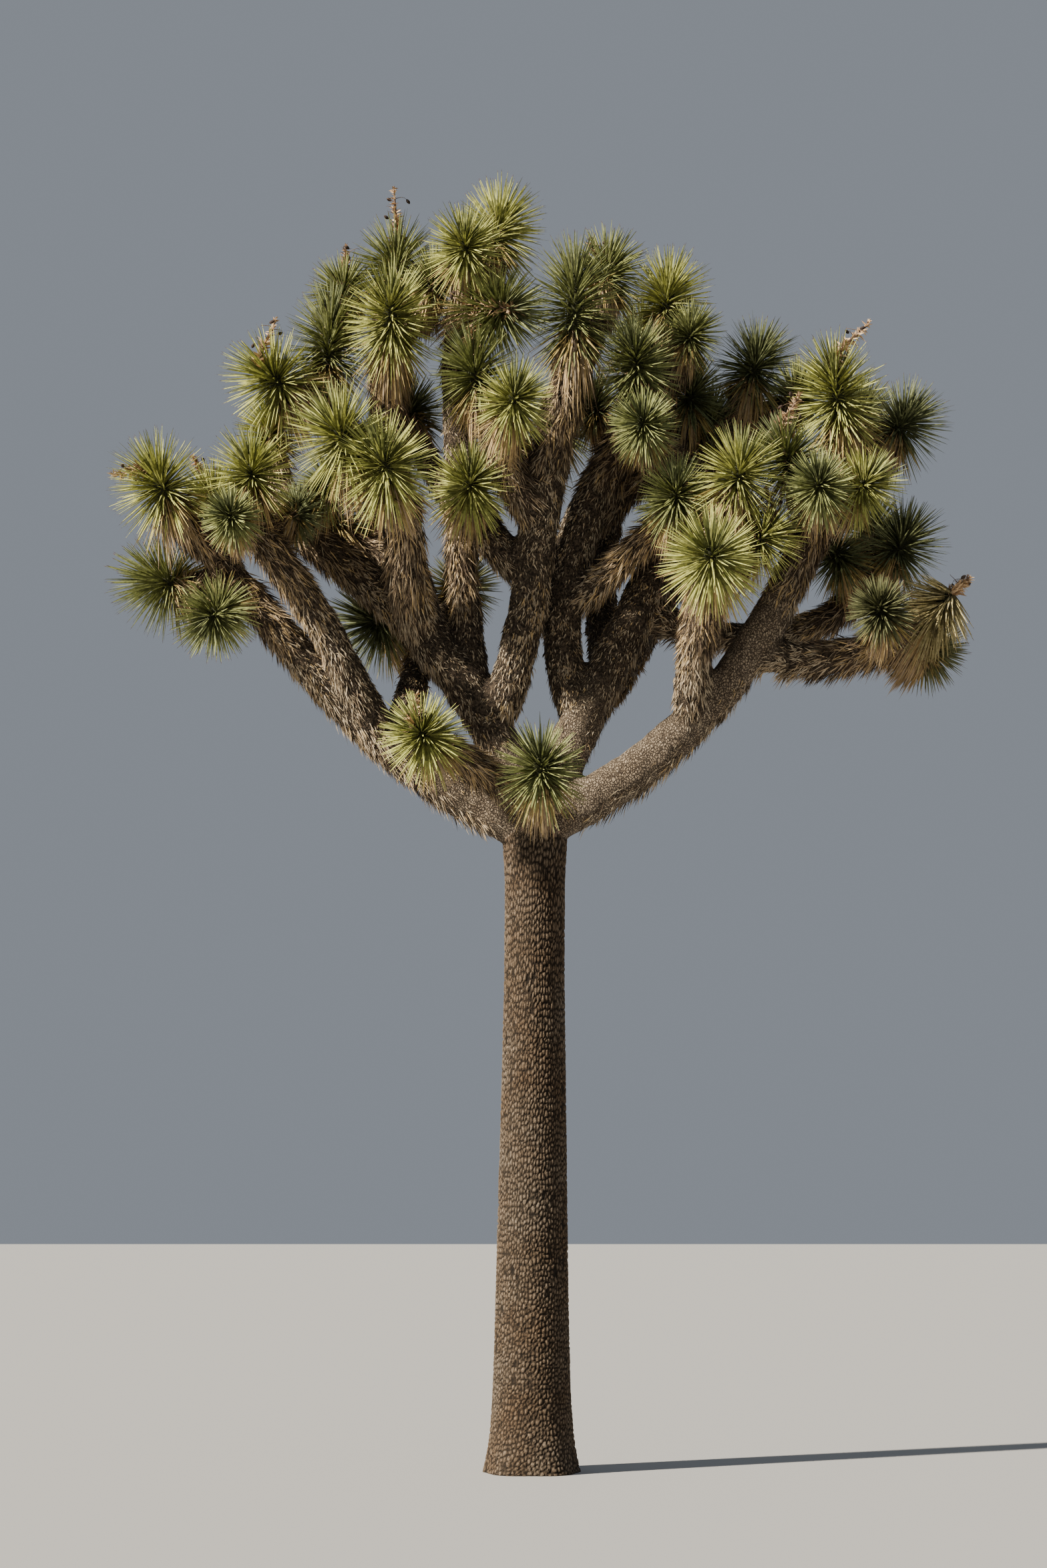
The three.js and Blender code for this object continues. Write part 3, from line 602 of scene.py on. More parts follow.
def make_arm(row, tint, mass, hub, tangent, tip_radius):
    """One arm with its head: the leafy end that its rosette grows on."""
    centre = np.array(row[:3]) * MM
    to_head = unit(centre - hub)
    axis = unit(to_head + HEAD_LIFT * UP)
    reach = row[3] * MM
    core = CORE_SHARE * reach
    half = (row[4] * MM if len(row) > 4 else 0) / 2 + CORE_OVERHANG * core
    neck = centre - axis * half
    arm = Limb("arm", hub, neck, mix(to_head, tangent, ARM_BEND), axis)
    arm.radius = lambda share: mix(ARM_FOOT_SHARE * tip_radius, core * CORE_GIRTH[0], share)
    across = unit(np.cross(ASIDE, axis))
    arm.head = SimpleNamespace(
        centre=centre, axis=axis, across=across, beside=np.cross(axis, across), reach=reach,
        core=core, half=half, tint=tint, stalk=row[5:], skirt=mass.skirt, combed=mass.combed)
    return arm


def make_mass(row, limbs):
    bough = limbs[row.on or row.name.replace("rosettes", "bough")]
    tangent = bough.tangent(1.0)
    tip_radius = float(bough.radius(1.0))
    hub = bough.point(1.0) + tangent * (TIP_GAP + HUB_SHARE * tip_radius)
    heads = row.heads or fan_heads(hub, tangent)
    return [make_arm(head, tint, row, hub, tangent, tip_radius) for head, tint in zip(heads, row.tints)]


# Meshes

# The boughs' skin at each of its points; see limb_cover.
Skin = namedtuple("Skin", "points outward along wrapped fresh fringed")


def add_object(name, data):
    thing = bpy.data.objects.new(name, data)
    bpy.context.scene.collection.objects.link(thing)
    return thing


def add_mesh(name, shape, materials, kinds=None, smooth=True):
    """A new piece from points and triangles. kinds: each triangle's place in the materials."""
    points, triangles = shape
    mesh = bpy.data.meshes.new(name)
    mesh.vertices.add(len(points))
    mesh.vertices.foreach_set("co", np.asarray(points, np.float32).ravel())
    mesh.loops.add(triangles.size)
    mesh.loops.foreach_set("vertex_index", np.asarray(triangles, np.int32).ravel())
    mesh.polygons.add(len(triangles))
    mesh.polygons.foreach_set("loop_start", np.arange(0, triangles.size, 3, dtype=np.int32))
    for material in materials:
        mesh.materials.append(material)
    if kinds is not None:
        mesh.polygons.foreach_set("material_index", np.asarray(kinds, np.int32))
    mesh.polygons.foreach_set("use_smooth", np.full(len(triangles), smooth))
    mesh.update(calc_edges=True)
    mesh.validate()
    return add_object(name, mesh)


def set_attribute(piece, name, values):
    attribute = piece.data.attributes.new(name, "FLOAT", "POINT")
    attribute.data.foreach_set("value", np.asarray(values, np.float32))


def tube(points, first, second, radii):
    """A closed tube with a fan at each end: one row of radii for each ring. The two directions
    across are given once, or once for each ring."""
    rings, sides = radii.shape
    angle = 2 * np.pi * np.arange(sides) / sides
    outward = swing(first[:, None], second[:, None], angle)
    skin = points[:, None] + outward * radii[..., None]
    ring = np.arange(rings - 1)[:, None] * sides
    side = np.arange(sides)
    after = (side + 1) % sides
    quads = (ring + side, ring + after, ring + sides + after, ring + sides + side)
    quads = np.stack(quads, axis=-1).reshape(-1, 4)
    foot = rings * sides
    last = foot - sides
    low_fan = np.stack([np.full(sides, foot), after, side], axis=1)
    high_fan = np.stack([np.full(sides, foot + 1), last + side, last + after], axis=1)
    triangles = np.concatenate([quads[:, [0, 1, 2]], quads[:, [0, 2, 3]], low_fan, high_fan])
    return np.concatenate([skin.reshape(-1, 3), points[:1], points[-1:]]), triangles


def round_tube(points, first, second, radius, sides):
    return tube(points, first, second, np.repeat(radius[:, None], sides, axis=1))


def join_parts(parts):
    offsets = np.cumsum([0] + [len(points) for points, _ in parts[:-1]])
    triangles = np.concatenate([part[1] + offset for part, offset in zip(parts, offsets)])
    return np.concatenate([points for points, _ in parts]), triangles


def trunk_bark(trunk, material):
    """The trunk with its corky plates, from the flat cut up to just under the fork."""
    share = np.linspace(0, TRUNK_BARK_TOP, TRUNK_RINGS + 1)
    angle = 2 * np.pi * np.arange(TRUNK_SIDES) / TRUNK_SIDES
    shares, angles = np.meshgrid(share, angle, indexing="ij")
    radii = trunk_radius(shares, angles)
    centres = trunk.point(share)
    outward = swing(X_AXIS, Y_AXIS, angles)
    rough = (centres[:, None] + outward * radii[..., None]).reshape(-1, 3)
    warp = PLATE_WARP * noise(rough, PLATE_WARP_SIZES[0], SEED)
    rise = PLATE_WARP * noise(rough, PLATE_WARP_SIZES[1], SEED + 1)
    across = (angles / (2 * np.pi) * PLATES_AROUND).ravel() + warp
    along = (shares * (1 - PLATE_STRETCH * shares) * TRUNK_HEIGHT / PLATE_HEIGHT).ravel() + rise
    relief = bark_plates(across, along, PLATES_AROUND, SEED + 2)
    swells = [noise(rough, size, SEED + 3 + index) for index, size in enumerate(SWELL_SIZES)]
    change = PLATE_RELIEF * (relief - PLATE_MIDDLE + SWELL_SHARE * np.mean(swells, axis=0))
    inset = SEAM_DEPTH * smoothstep(shares, *TRUNK_SEAM_SHARES)
    radii = radii + change.reshape(radii.shape) - inset
    piece = add_mesh("trunk_bark", tube(centres, X_AXIS[None], Y_AXIS[None], radii), [material])
    set_attribute(piece, "relief", np.append(relief, (0, 0)))
    return piece


def limb_tube(limb, shares, radius, sides):
    points, _, first, second = limb.frames(shares)
    return round_tube(points, first, second, radius, sides)


def skin_tube(limb):
    shares = np.linspace(0, 1, max(3, int(limb.length / SKIN_RING_SPACING)) + 1)
    return limb_tube(limb, shares, limb.skin(shares), SKIN_SIDES)


def hub_tube(limb):
    """The knob past a bough's tip that its arms fork from."""
    shares = np.linspace(HUB_START, HUB_SHARE + HUB_OVERLAP, HUB_RINGS)
    points = limb.point(1.0) + limb.tangent(1.0) * (shares * float(limb.radius(1.0)))[:, None]
    _, _, first, second = limb.frames(np.array([1.0]))
    radius = float(limb.skin(1.0)) * (1 - HUB_TAPER * np.clip(shares, 0, 1))
    radius[[0, -1]] *= HUB_END_SHARE
    return round_tube(points, first, second, radius, SKIN_SIDES)


def trunk_top_tube(trunk):
    shares = np.linspace(*TRUNK_SKIN_SHARES, TRUNK_SKIN_RINGS)
    return limb_tube(trunk, shares, trunk.radius(shares) - TRUNK_SKIN_INSET, TRUNK_SKIN_SIDES)


def remesh_skin(piece):
    """Overlapping tubes become one skin, with its forks smoothed into one another."""
    remesh = piece.modifiers.new("remesh", "REMESH")
    remesh.mode = "VOXEL"
    remesh.voxel_size = SKIN_VOXEL
    smooth = piece.modifiers.new("smooth", "SMOOTH")
    smooth.factor = 0.5
    smooth.iterations = SKIN_SMOOTHING
    graph = bpy.context.evaluated_depsgraph_get()
    mesh = bpy.data.meshes.new_from_object(piece.evaluated_get(graph))
    piece.modifiers.clear()
    mesh.name = piece.data.name
    piece.data = mesh


def read_mesh(mesh):
    """The place and the outward direction of each point."""
    tables = []
    for rows, name in ((mesh.vertices, "co"), (mesh.vertex_normals, "vector")):
        values = np.empty(len(rows) * 3, np.float32)
        rows.foreach_get(name, values)
        tables.append(values.reshape(-1, 3).astype(float))
    return tables


def bough_bark(trunk, boughs, arms, material):
    """One organic skin over the fork, boughs and arms, and what covers it at each of its points."""
    tubes = [skin_tube(limb) for limb in boughs + arms] + [hub_tube(limb) for limb in boughs]
    piece = add_mesh("bough_bark", join_parts([trunk_top_tube(trunk), *tubes]), [])
    remesh_skin(piece)
    mesh = piece.data
    mesh.materials.clear()
    mesh.materials.append(material)
    points, normals = read_mesh(mesh)
    along, wrapped, fresh, fringed = limb_cover(points, [trunk] + boughs + arms)
    set_attribute(piece, "bare", 1 - wrapped)
    for index, (size, height) in enumerate(SKIN_LUMPS):
        points += normals * (height * noise(points, size, SEED + 10 + index))[:, None]
    mesh.vertices.foreach_set("co", points.astype(np.float32).ravel())
    mesh.polygons.foreach_set("use_smooth", np.full(len(mesh.polygons), True))
    mesh.update()
    return piece, Skin(points, normals, along, wrapped, fresh, fringed)


def limb_cover(points, limbs):
    """The nearest limb's direction at each point, how far dead leaves cover it there, how fresh
    they are, and whether its underside has a fringe of them where the bark is bare."""
    shares = np.linspace(0, 1, LIMB_STEPS)
    nearest = np.full(len(points), FAR)
    found = np.zeros((len(points), 6))
    for limb in limbs:
        fringed = (shares > FRINGE_FIRST_SHARE) & (limb.bare < ALL_BARE)
        rows = [limb.tangent(shares), limb.wrapped(shares), limb.fresh(shares), fringed]
        for spot, radius, row in zip(limb.point(shares), limb.radius(shares), np.column_stack(rows)):
            gap = np.linalg.norm(points - spot, axis=1) - radius
            closer = gap < nearest
            found[closer] = row
            nearest[closer] = gap[closer]
    return found[:, :3], *found[:, 3:].T


def core_tube(arm):
    """The leafy end of an arm, which the leaves' bases cover."""
    head = arm.head
    girth = np.maximum(CORE_GIRTH, CORE_LEAST_GIRTH) * head.core * CORE_SKIN_SHARE
    along = head.half * np.array(CORE_ALONG) * CORE_SKIN_LENGTH
    centres = head.centre + head.axis * along[:, None]
    return round_tube(centres, head.across[None], head.beside[None], girth, CORE_SKIN_SIDES)


# Blades: living leaves, thatch and husks. Each has a base, an aim and a face normal, a length,
# width and sag, and a kind, which gives its colour.
Blades = namedtuple("Blades", "base aim face length width sag kind")


def pick(table, chosen):
    return table._make(values[chosen] for values in table)


def join_blades(tables):
    return Blades(*map(np.concatenate, zip(*tables)))


def blade_middle(blades, share, drop):
    """The points at a share of each blade's length, with that share of its sag."""
    along = blades.aim * (blades.length * share)[:, None]
    return blades.base + along - UP * (blades.sag * drop)[:, None]


def repeated(points, faces):
    """One mesh of all the blades: a row of points for each, and one blade's faces."""
    offsets = np.arange(len(points))[:, None, None] * points.shape[1]
    return points.reshape(-1, 3), (np.array(faces) + offsets).reshape(-1, 3)


def blade_mesh(blades):
    """Folded tapering leaves: a row of left, keel and right at each share, then the spine. Gives
    each triangle's kind too: 0 on the blade, 1 on its spine and 2 near its base, which takes painted
    shade."""
    side = unit(np.cross(blades.aim, blades.face))
    keel = unit(np.cross(side, blades.aim))
    end = len(LEAF_SHARES) * 3
    points = np.empty((len(side), end + 1, 3))
    for row, (share, spread) in enumerate(zip(LEAF_SHARES, LEAF_WIDTHS)):
        middle = blade_middle(blades, share, share ** 2)
        half = (blades.width * spread / 2)[:, None]
        points[:, row * 3] = middle - side * half
        points[:, row * 3 + 1] = middle - keel * (half * 2 * LEAF_FOLD)
        points[:, row * 3 + 2] = middle + side * half
    points[:, -1] = blade_middle(blades, 1, 1)
    faces = []
    for a in range(0, end - 3, 3):
        faces += [(a, a + 1, a + 4), (a, a + 4, a + 3), (a + 1, a + 2, a + 5), (a + 1, a + 5, a + 4)]
    faces += [(end - 3, end - 2, end), (end - 2, end - 1, end)]
    kinds = np.zeros((len(side), len(faces)), int)
    kinds[:, -2:] = 1
    kinds[:, :4] = 2
    return repeated(points, faces), kinds.ravel()


def flat_blade_mesh(blades):
    """Dry blades: kites that are widest near their base and end in a point."""
    side = unit(np.cross(blades.aim, blades.face)) * (blades.width / 2)[:, None]
    widest = blade_middle(blades, KITE_SHARE, KITE_SHARE ** 2)
    corners = [blades.base, widest - side, blade_middle(blades, 1, 1), widest + side]
    return repeated(np.stack(corners, axis=1), TWO_TRIANGLES)


def room_for(base, tip, arm, others, samples):
    """The share of each leaf that keeps to its own rosette's space and clear of limbs."""
    head = arm.head
    share = np.ones(len(base))
    for other in others:
        gap = np.linalg.norm(other.centre - head.centre)
        if gap > head.reach + other.reach + head.half + other.half:
            continue
        toward = (other.centre - head.centre) / gap
        plane = (gap ** 2 + head.reach ** 2 - other.reach ** 2) / (2 * gap) + LEAF_CROSSING
        start = (base - head.centre) @ toward
        end = (tip - head.centre) @ toward
        crossing = (plane - start) / np.maximum(end - start, TINY)
        share = np.where(end > plane, np.minimum(share, np.maximum(crossing, 0)), share)
    points, radii = samples
    close = np.linalg.norm(points - head.centre, axis=1) < head.reach + head.half + radii
    for point, radius in zip(points[close], radii[close]):
        for part in LEAF_TEST_SHARES:
            gap = np.linalg.norm(mix(base, tip, part) - point, axis=1)
            share = np.where(gap < radius * LIMB_CLEARANCE, np.minimum(share, part * LEAF_CUT), share)
    return share


def core_girth(along):
    return np.interp(along, CORE_ALONG, CORE_GIRTH)


def leaf_spots(head):
    """Each leaf's place along its head, from -1 to 1: closer together where the core is thick."""
    stem = head.half / (CORE_OVERHANG * head.core)
    count = int(LEAVES_PER_HEAD * (1 - STEM_LEAF_SHARE + STEM_LEAF_SHARE * stem))
    table = np.linspace(LEAF_LAST_ALONG, 1, LEAF_TABLE_STEPS)
    total = np.cumsum(core_girth(table) + LEAF_TOP_WEIGHT)
    return np.interp((np.arange(count) + 0.5) / count * total[-1], total, table)


def leaf_kinds(tint, along, random):
    """Old leaves low on a head, young ones on top, and the head's own tint for the rest."""
    old = (along < OLD_ALONG) & (random.random(len(along)) < OLD_SHARE)
    young = random.random(len(along)) < smoothstep(along, *YOUNG_ALONG)
    kind = np.where(old & (tint != "d"), "a", tint)
    return np.where(young, YOUNG_TINTS.get(tint, tint), kind)


def rosette_leaves(arm, others, samples, random):
    """One rosette's leaves, spun up its core from its old ones to the young ones on top."""
    head = arm.head
    along = leaf_spots(head)
    count = len(along)
    turn = GOLDEN_ANGLE * np.arange(count) + random.uniform(0, FIRST_TURN)
    turn = turn + random.normal(0, LEAF_AIM_SPREAD, count)
    lean = np.radians(np.interp(along, CORE_ALONG, LEAF_ANGLES))
    lean = lean + random.normal(0, LEAF_AIM_SPREAD, count)
    outward = swing(head.across, head.beside, turn)
    base = head.centre + head.axis * (head.half * along)[:, None]
    base = base + outward * (head.core * core_girth(along) * LEAF_BASE_SHARE)[:, None]
    aim = swing(head.axis, outward, lean)
    face = swing(-outward, head.axis, lean)
    face = unit(face + LEAF_ROLL * np.cross(aim, face) * random.normal(0, 1, (count, 1)))
    if head.tint == "d":
        aim = unit(aim + DRY_COMB)
    length = LEAF_LENGTH_GAIN - LEAF_LENGTH_SPREAD * random.random(count)
    length = length * (head.reach - head.core * LEAF_BASE_SHARE)
    length = length * mix(1, TOP_LEAF_LENGTH, smoothstep(along, *TOP_LEAF_ALONG))
    share = room_for(base, base + aim * length[:, None], arm, others, samples)
    length = length * share
    kind = leaf_kinds(head.tint, along, random)
    droop = mix(OLD_SAG, LEAF_SAG, smoothstep(along, *OLD_SAG_ALONG))
    width = LEAF_WIDTH * random.uniform(*LEAF_WIDTH_GAINS, count)
    sag = droop * length * random.uniform(*LEAF_SAG_GAINS, count)
    return pick(Blades(base, aim, face, length, width, sag, kind), share > SHORTEST_LEAF)


def ruffled(faces, spread, random):
    """Each blade's face normal, turned a little its own way."""
    return unit(faces + spread * random.normal(0, 1, faces.shape))


def skirt_blades(arm, random):
    """The dead leaves that hang straw-coloured straight under the living ones."""
    head = arm.head
    count = int(random.integers(*SKIRT_BLADES) * head.skirt)
    back = random.random(count)
    outward = swing(head.across, head.beside, random.uniform(0, 2 * np.pi, count))
    base = head.centre - head.axis * (head.half * mix(*SKIRT_BACK, back))[:, None]
    base = base + outward * (head.core * SKIRT_BASE_SHARE)
    lift = mix(*SKIRT_LIFT, random.random(count) * (1 - SKIRT_LIFT_LOSS * back))
    length = random.uniform(*SKIRT_LENGTH, count) * head.reach / FAN_REACH
    straw = random.uniform(*SKIRT_STRAW)
    straw_and_tan, grey, brown = SKIRT_SHARES
    shares = (straw, straw_and_tan - straw, grey, brown)
    aim = swing(-head.axis, outward, lift)
    aim = unit(aim - SKIRT_HANG * UP + head.combed * np.array(DRY_COMB))
    face = ruffled(outward, SKIRT_RUFFLE, random)
    width = SKIRT_WIDTH * random.uniform(*SKIRT_WIDTH_GAINS, count)
    sag = THATCH_SAG * length * random.random(count)
    kind = random.choice(len(shares), count, p=shares)
    return Blades(base, aim, face, length, width, sag, kind)


def tuft_angles(tufts, random):
    """How far each blade turns aside, lifts and hangs: near to what its tuft does."""
    def near(values, spread):
        values = np.repeat(values, BLADES_PER_TUFT)
        return values + random.normal(0, spread, len(values))

    yaw = near(random.normal(0, TUFT_TURN, tufts), BLADE_TURN)
    lift = near(mix(*THATCH_LIFT, random.random(tufts) ** THATCH_LIFT_POWER), BLADE_TILT)
    hang = near(mix(*THATCH_HANG, random.random(tufts) ** THATCH_HANG_POWER), BLADE_TILT)
    return yaw, lift, hang


def thatch_blades(skin, random):
    """Tufts of dead leaves: short grey stubs far from a limb's tip, and whole brown ones near it."""
    tufts = int(len(skin.points) * TUFTS_PER_SKIN_POINT)
    count = tufts * BLADES_PER_TUFT
    roots = pick(skin, random.integers(0, len(skin.points), tufts))
    roots = Skin(*(np.repeat(values, BLADES_PER_TUFT, axis=0) for values in roots))
    yaw, lift, hang = tuft_angles(tufts, random)
    outward = roots.outward
    level = np.sum(roots.along * outward, axis=1)
    along = unit(roots.along - outward * level[:, None] + TINY)
    across = np.cross(along, outward)
    shift = random.normal(0, TUFT_SPREAD, (2, count, 1))
    base = roots.points + along * shift[0] + across * shift[1] - outward * TUFT_DEPTH
    under = np.clip(-outward[:, 2], 0, 1)
    aim = swing(swing(-along, across, yaw), outward, lift)
    aim = unit(aim - UP * (hang * mix(TOP_HANG_SHARE, 1, under))[:, None])
    rise = np.sum(aim * outward, axis=1)
    aim = unit(aim + outward * np.maximum(0, LEAST_RISE - rise)[:, None])
    fresh = roots.fresh
    stubs = random.uniform(*STUBBLE_LENGTH, count) * mix(*STUBBLE_GAINS, under)
    length = mix(stubs, random.uniform(*THATCH_LENGTH, count), fresh)
    width = mix(STUBBLE_WIDTH, THATCH_WIDTH, fresh) * random.uniform(*THATCH_WIDTH_GAINS, count)
    worn = random.random(count) + WORN_SPREAD * noise(base, WORN_PATCH, SEED + 31)
    kind = np.sum([worn > mix(old, new, fresh) for old, new in zip(*THATCH_SHARES)], axis=0)
    face = ruffled(outward, THATCH_RUFFLE, random)
    sag = THATCH_SAG * length * random.random(count) * under
    fringe = roots.fringed * smoothstep(under, *FRINGE_UNDER) * FRINGE_SHARE
    kept = random.random(count) < np.maximum(roots.wrapped, fringe)
    return pick(Blades(base, aim, face, length, width, sag, kind), kept)


# Dry flower stalks

def make_stalk(head):
    aside, above = head.stalk
    foot = head.centre + head.axis * head.half * STALK_FOOT_SHARE
    tip = head.centre + np.array([aside, 0, above]) * MM
    stalk = Limb("stalk", foot, tip, head.axis, mix(unit(tip - foot), UP, STALK_RISE))
    stalk.radius = lambda share: mix(*STALK_RADII, share)
    return stalk


def twig_tube(limb, rings, sides):
    shares = np.linspace(0, 1, rings)
    return limb_tube(limb, shares, limb.radius(shares), sides)


def stalk_husks(stalk, random):
    """Papery husks round the spike, long at its foot and short at its tip."""
    count = HUSKS_PER_STALK
    share = random.random(count) ** HUSK_POWER * HUSK_LAST_SHARE
    points, tangents, first, second = stalk.frames(share)
    outward = swing(first, second, random.uniform(0, 2 * np.pi, count))
    aim = swing(tangents, outward, random.uniform(*HUSK_LIFT, count))
    length = mix(*HUSK_LENGTHS, share) * random.uniform(*HUSK_LENGTH_GAINS, count)
    face = ruffled(outward, HUSK_RUFFLE, random)
    sag = HUSK_SAG * length * random.random(count)
    kind = random.integers(0, len(HUSK_TINTS), count)
    return Blades(points, aim, face, length, mix(*HUSK_WIDTHS, share), sag, kind)


def stalk_twigs(stalk, random):
    """Thin curled twigs, and a pod at the end of every third one."""
    twigs = []
    pods = []
    for index in range(TWIGS_PER_STALK):
        foot = stalk.point(mix(*TWIG_SHARES, random.random()))
        away = np.append(random.normal(0, 1, 2), random.uniform(*TWIG_RISE))
        length = random.uniform(*TWIG_LENGTH)
        tip = foot + unit(away) * length
        twig = Limb("twig", foot, tip, away + UP, (random.normal(), random.normal(), TWIG_CURL))
        twig.radius = lambda share: mix(*TWIG_RADII, share)
        twigs.append(twig_tube(twig, *TWIG_MESH))
        if index % 3 == 0:
            pods.append(pod_tube(twig))
    return twigs, pods


def pod_tube(twig):
    points, tangents, first, second = twig.frames(np.array([1.0]))
    centres = points + tangents * (np.array(POD_ALONG) * POD_LENGTH)[:, None]
    return round_tube(centres, first, second, np.array(POD_GIRTH) * POD_RADIUS, POD_SIDES)


# Materials

def new_material(name, roughness, specular):
    material = bpy.data.materials.new(name)
    material.use_nodes = True
    shader = material.node_tree.nodes["Principled BSDF"]
    shader.inputs["Roughness"].default_value = roughness
    shader.inputs["Specular IOR Level"].default_value = specular
    return material, shader


def add_node(material, kind, **settings):
    """A new node. Each setting is a property, an input's value or a socket that is linked to it."""
    node = material.node_tree.nodes.new("ShaderNode" + kind)
    for name, value in settings.items():
        if isinstance(value, bpy.types.NodeSocket):
            join_nodes(material, value, node.inputs[name])
        elif name in node.inputs:
            node.inputs[name].default_value = value
        else:
            setattr(node, name, value)
    return node


def join_nodes(material, output, target):
    material.node_tree.links.new(output, target)


def object_noise(material, scale, detail, stretch=(1, 1, 1)):
    place = add_node(material, "TexCoord").outputs["Object"]
    place = add_node(material, "Mapping", Vector=place, Scale=stretch).outputs["Vector"]
    texture = add_node(material, "TexNoise", Vector=place, Scale=scale, Detail=detail)
    return texture.outputs["Fac"]


def colour_ramp(material, factor, stops):
    ramp = add_node(material, "ValToRGB", Fac=factor)
    elements = ramp.color_ramp.elements
    stops = list(stops)
    while len(elements) < len(stops):
        elements.new(0.5)
    for element, (place, colour) in zip(elements, stops):
        element.position = place
        element.color = (*colour, 1)
    return ramp.outputs["Color"]


def finish_material(material, shader, colour, height, strength, distance):
    """Gives the shader its colour and a bump of that height."""
    bump = add_node(material, "Bump", Height=height, Strength=strength, Distance=distance)
    join_nodes(material, colour, shader.inputs["Base Color"])
    join_nodes(material, bump.outputs["Normal"], shader.inputs["Normal"])
    return material


def blended(material, factor, first, second, kind="MIX"):
    """Two colours mixed by a factor, or one multiplied by the other."""
    settings = dict(data_type="RGBA", blend_type=kind, Factor=factor, A=first, B=second)
    return add_node(material, "Mix", **settings).outputs["Result"]


def tinted(material, colour, factor, low, high):
    """The colour made darker and lighter by a factor from 0 to 1."""
    tone = colour_ramp(material, factor, zip(TONE_PLACES, (low, high)))
    return blended(material, 1, colour, tone, "MULTIPLY")


def cracked_cells(material, scale, stretch, crack, warp):
    """Ragged cells parted by thin cracks: 0 in a crack and 1 on a cell."""
    place = add_node(material, "TexCoord").outputs["Object"]
    wobble = add_node(material, "TexNoise", Vector=place, Scale=30, Detail=3)
    shift = add_node(material, "VectorMath", operation="MULTIPLY_ADD")
    join_nodes(material, wobble.outputs["Color"], shift.inputs[0])
    shift.inputs[1].default_value = (warp, warp, warp)
    join_nodes(material, place, shift.inputs[2])
    place = add_node(material, "Mapping", Vector=shift.outputs["Vector"], Scale=stretch)
    cells = add_node(material, "TexVoronoi", feature="DISTANCE_TO_EDGE",
                     Vector=place.outputs["Vector"], Scale=scale)
    edges = add_node(material, "MapRange", Value=cells.outputs["Distance"])
    edges.inputs["From Max"].default_value = crack
    return edges.outputs["Result"]


def trunk_bark_material():
    """Fissures and plates follow the mesh's own relief; cracks, grain and stains are added."""
    material, shader = new_material("trunk_bark", 0.92, 0.25)
    relief = add_node(material, "Attribute", attribute_name="relief")
    # Darkest in the fissures: partly the bark's own colour and partly painted shade of their depth.
    colour = colour_ramp(material, relief.outputs["Fac"], BARK_STOPS)
    stains = object_noise(material, scale=3.5, detail=4)
    grain = object_noise(material, scale=70, detail=5, stretch=(1, 1, 0.35))
    cracks = cracked_cells(material, scale=120, stretch=(1, 1, 0.45), crack=0.12, warp=0.03)
    colour = tinted(material, colour, stains, (0.86, 0.70, 0.55), (1.14, 1.14, 1.15))
    colour = tinted(material, colour, grain, (0.62, 0.58, 0.54), (1.25, 1.25, 1.25))
    # The cracks darkened: partly their own colour and partly painted shade.
    colour = tinted(material, colour, cracks, (0.58, 0.55, 0.52), (1.05, 1.05, 1.05))
    return finish_material(material, shader, colour, cracks, strength=0.6, distance=0.004)


def bough_bark_material():
    """Small plates where the boughs are bare, and painted shade under the thatch: dark speckles for the
    shadows between its blades.
    """
    material, shader = new_material("bough_bark", 0.92, 0.25)
    plates = cracked_cells(material, scale=78, stretch=(1, 1, 0.7), crack=0.22, warp=0.03)
    # Dark in the cracks: partly the bark's own colour and partly painted shade.
    colour = colour_ramp(material, plates, BOUGH_BARK_STOPS)
    stains = object_noise(material, scale=9, detail=3)
    grain = object_noise(material, scale=90, detail=5)
    colour = tinted(material, colour, stains, (0.7, 0.66, 0.62), (1.0, 1.0, 1.0))
    colour = tinted(material, colour, grain, (0.6, 0.57, 0.54), (1.2, 1.2, 1.2))
    bare = add_node(material, "Attribute", attribute_name="bare").outputs["Fac"]
    # Painted shade of the gaps between the thatch's blades.
    painted_gap_shade = colour_ramp(material, object_noise(material, scale=75, detail=4), THATCH_GAP_PAINTED_SHADES)
    colour = blended(material, bare, painted_gap_shade, colour)
    return finish_material(material, shader, colour, plates, strength=0.8, distance=0.006)


def blade_material(name, first, second, roughness, specular):
    """A leaf's plain base colour with a faint mottle and fine ribs."""
    material, shader = new_material(name, roughness, specular)
    mottle = object_noise(material, scale=42, detail=3)
    ribs = object_noise(material, scale=240, detail=2)
    colour = colour_ramp(material, mottle, zip(MOTTLE_PLACES, (first, second)))
    return finish_material(material, shader, colour, ribs, strength=0.25, distance=0.001)


def plain_material(name, colour, roughness, specular):
    material, shader = new_material(name, roughness, specular)
    shader.inputs["Base Color"].default_value = (*colour, 1)
    return material


# Stage

def add_camera():
    data = bpy.data.cameras.new("photo_camera")
    data.sensor_width = SENSOR
    data.sensor_fit = "AUTO"
    data.lens = SENSOR * FOCAL_PIXELS / PHOTO_HEIGHT
    data.clip_end = CAMERA_SIGHT
    camera = add_object("photo_camera", data)
    camera.location = CAMERA_PLACE
    camera.rotation_euler = (math.radians(90 + CAMERA_TILT), 0, 0)
    bpy.context.scene.camera = camera


def add_sun():
    """A low warm lamp from the front left, as in the photo."""
    data = bpy.data.lights.new("key", "SUN")
    data.energy = SUN_STRENGTH
    data.angle = math.radians(SUN_SOFTNESS)
    data.color = SUN_COLOUR
    lamp = add_object("key", data)
    lamp.rotation_euler = (math.radians(90 - SUN_ELEVATION), 0, -math.radians(SUN_AZIMUTH))


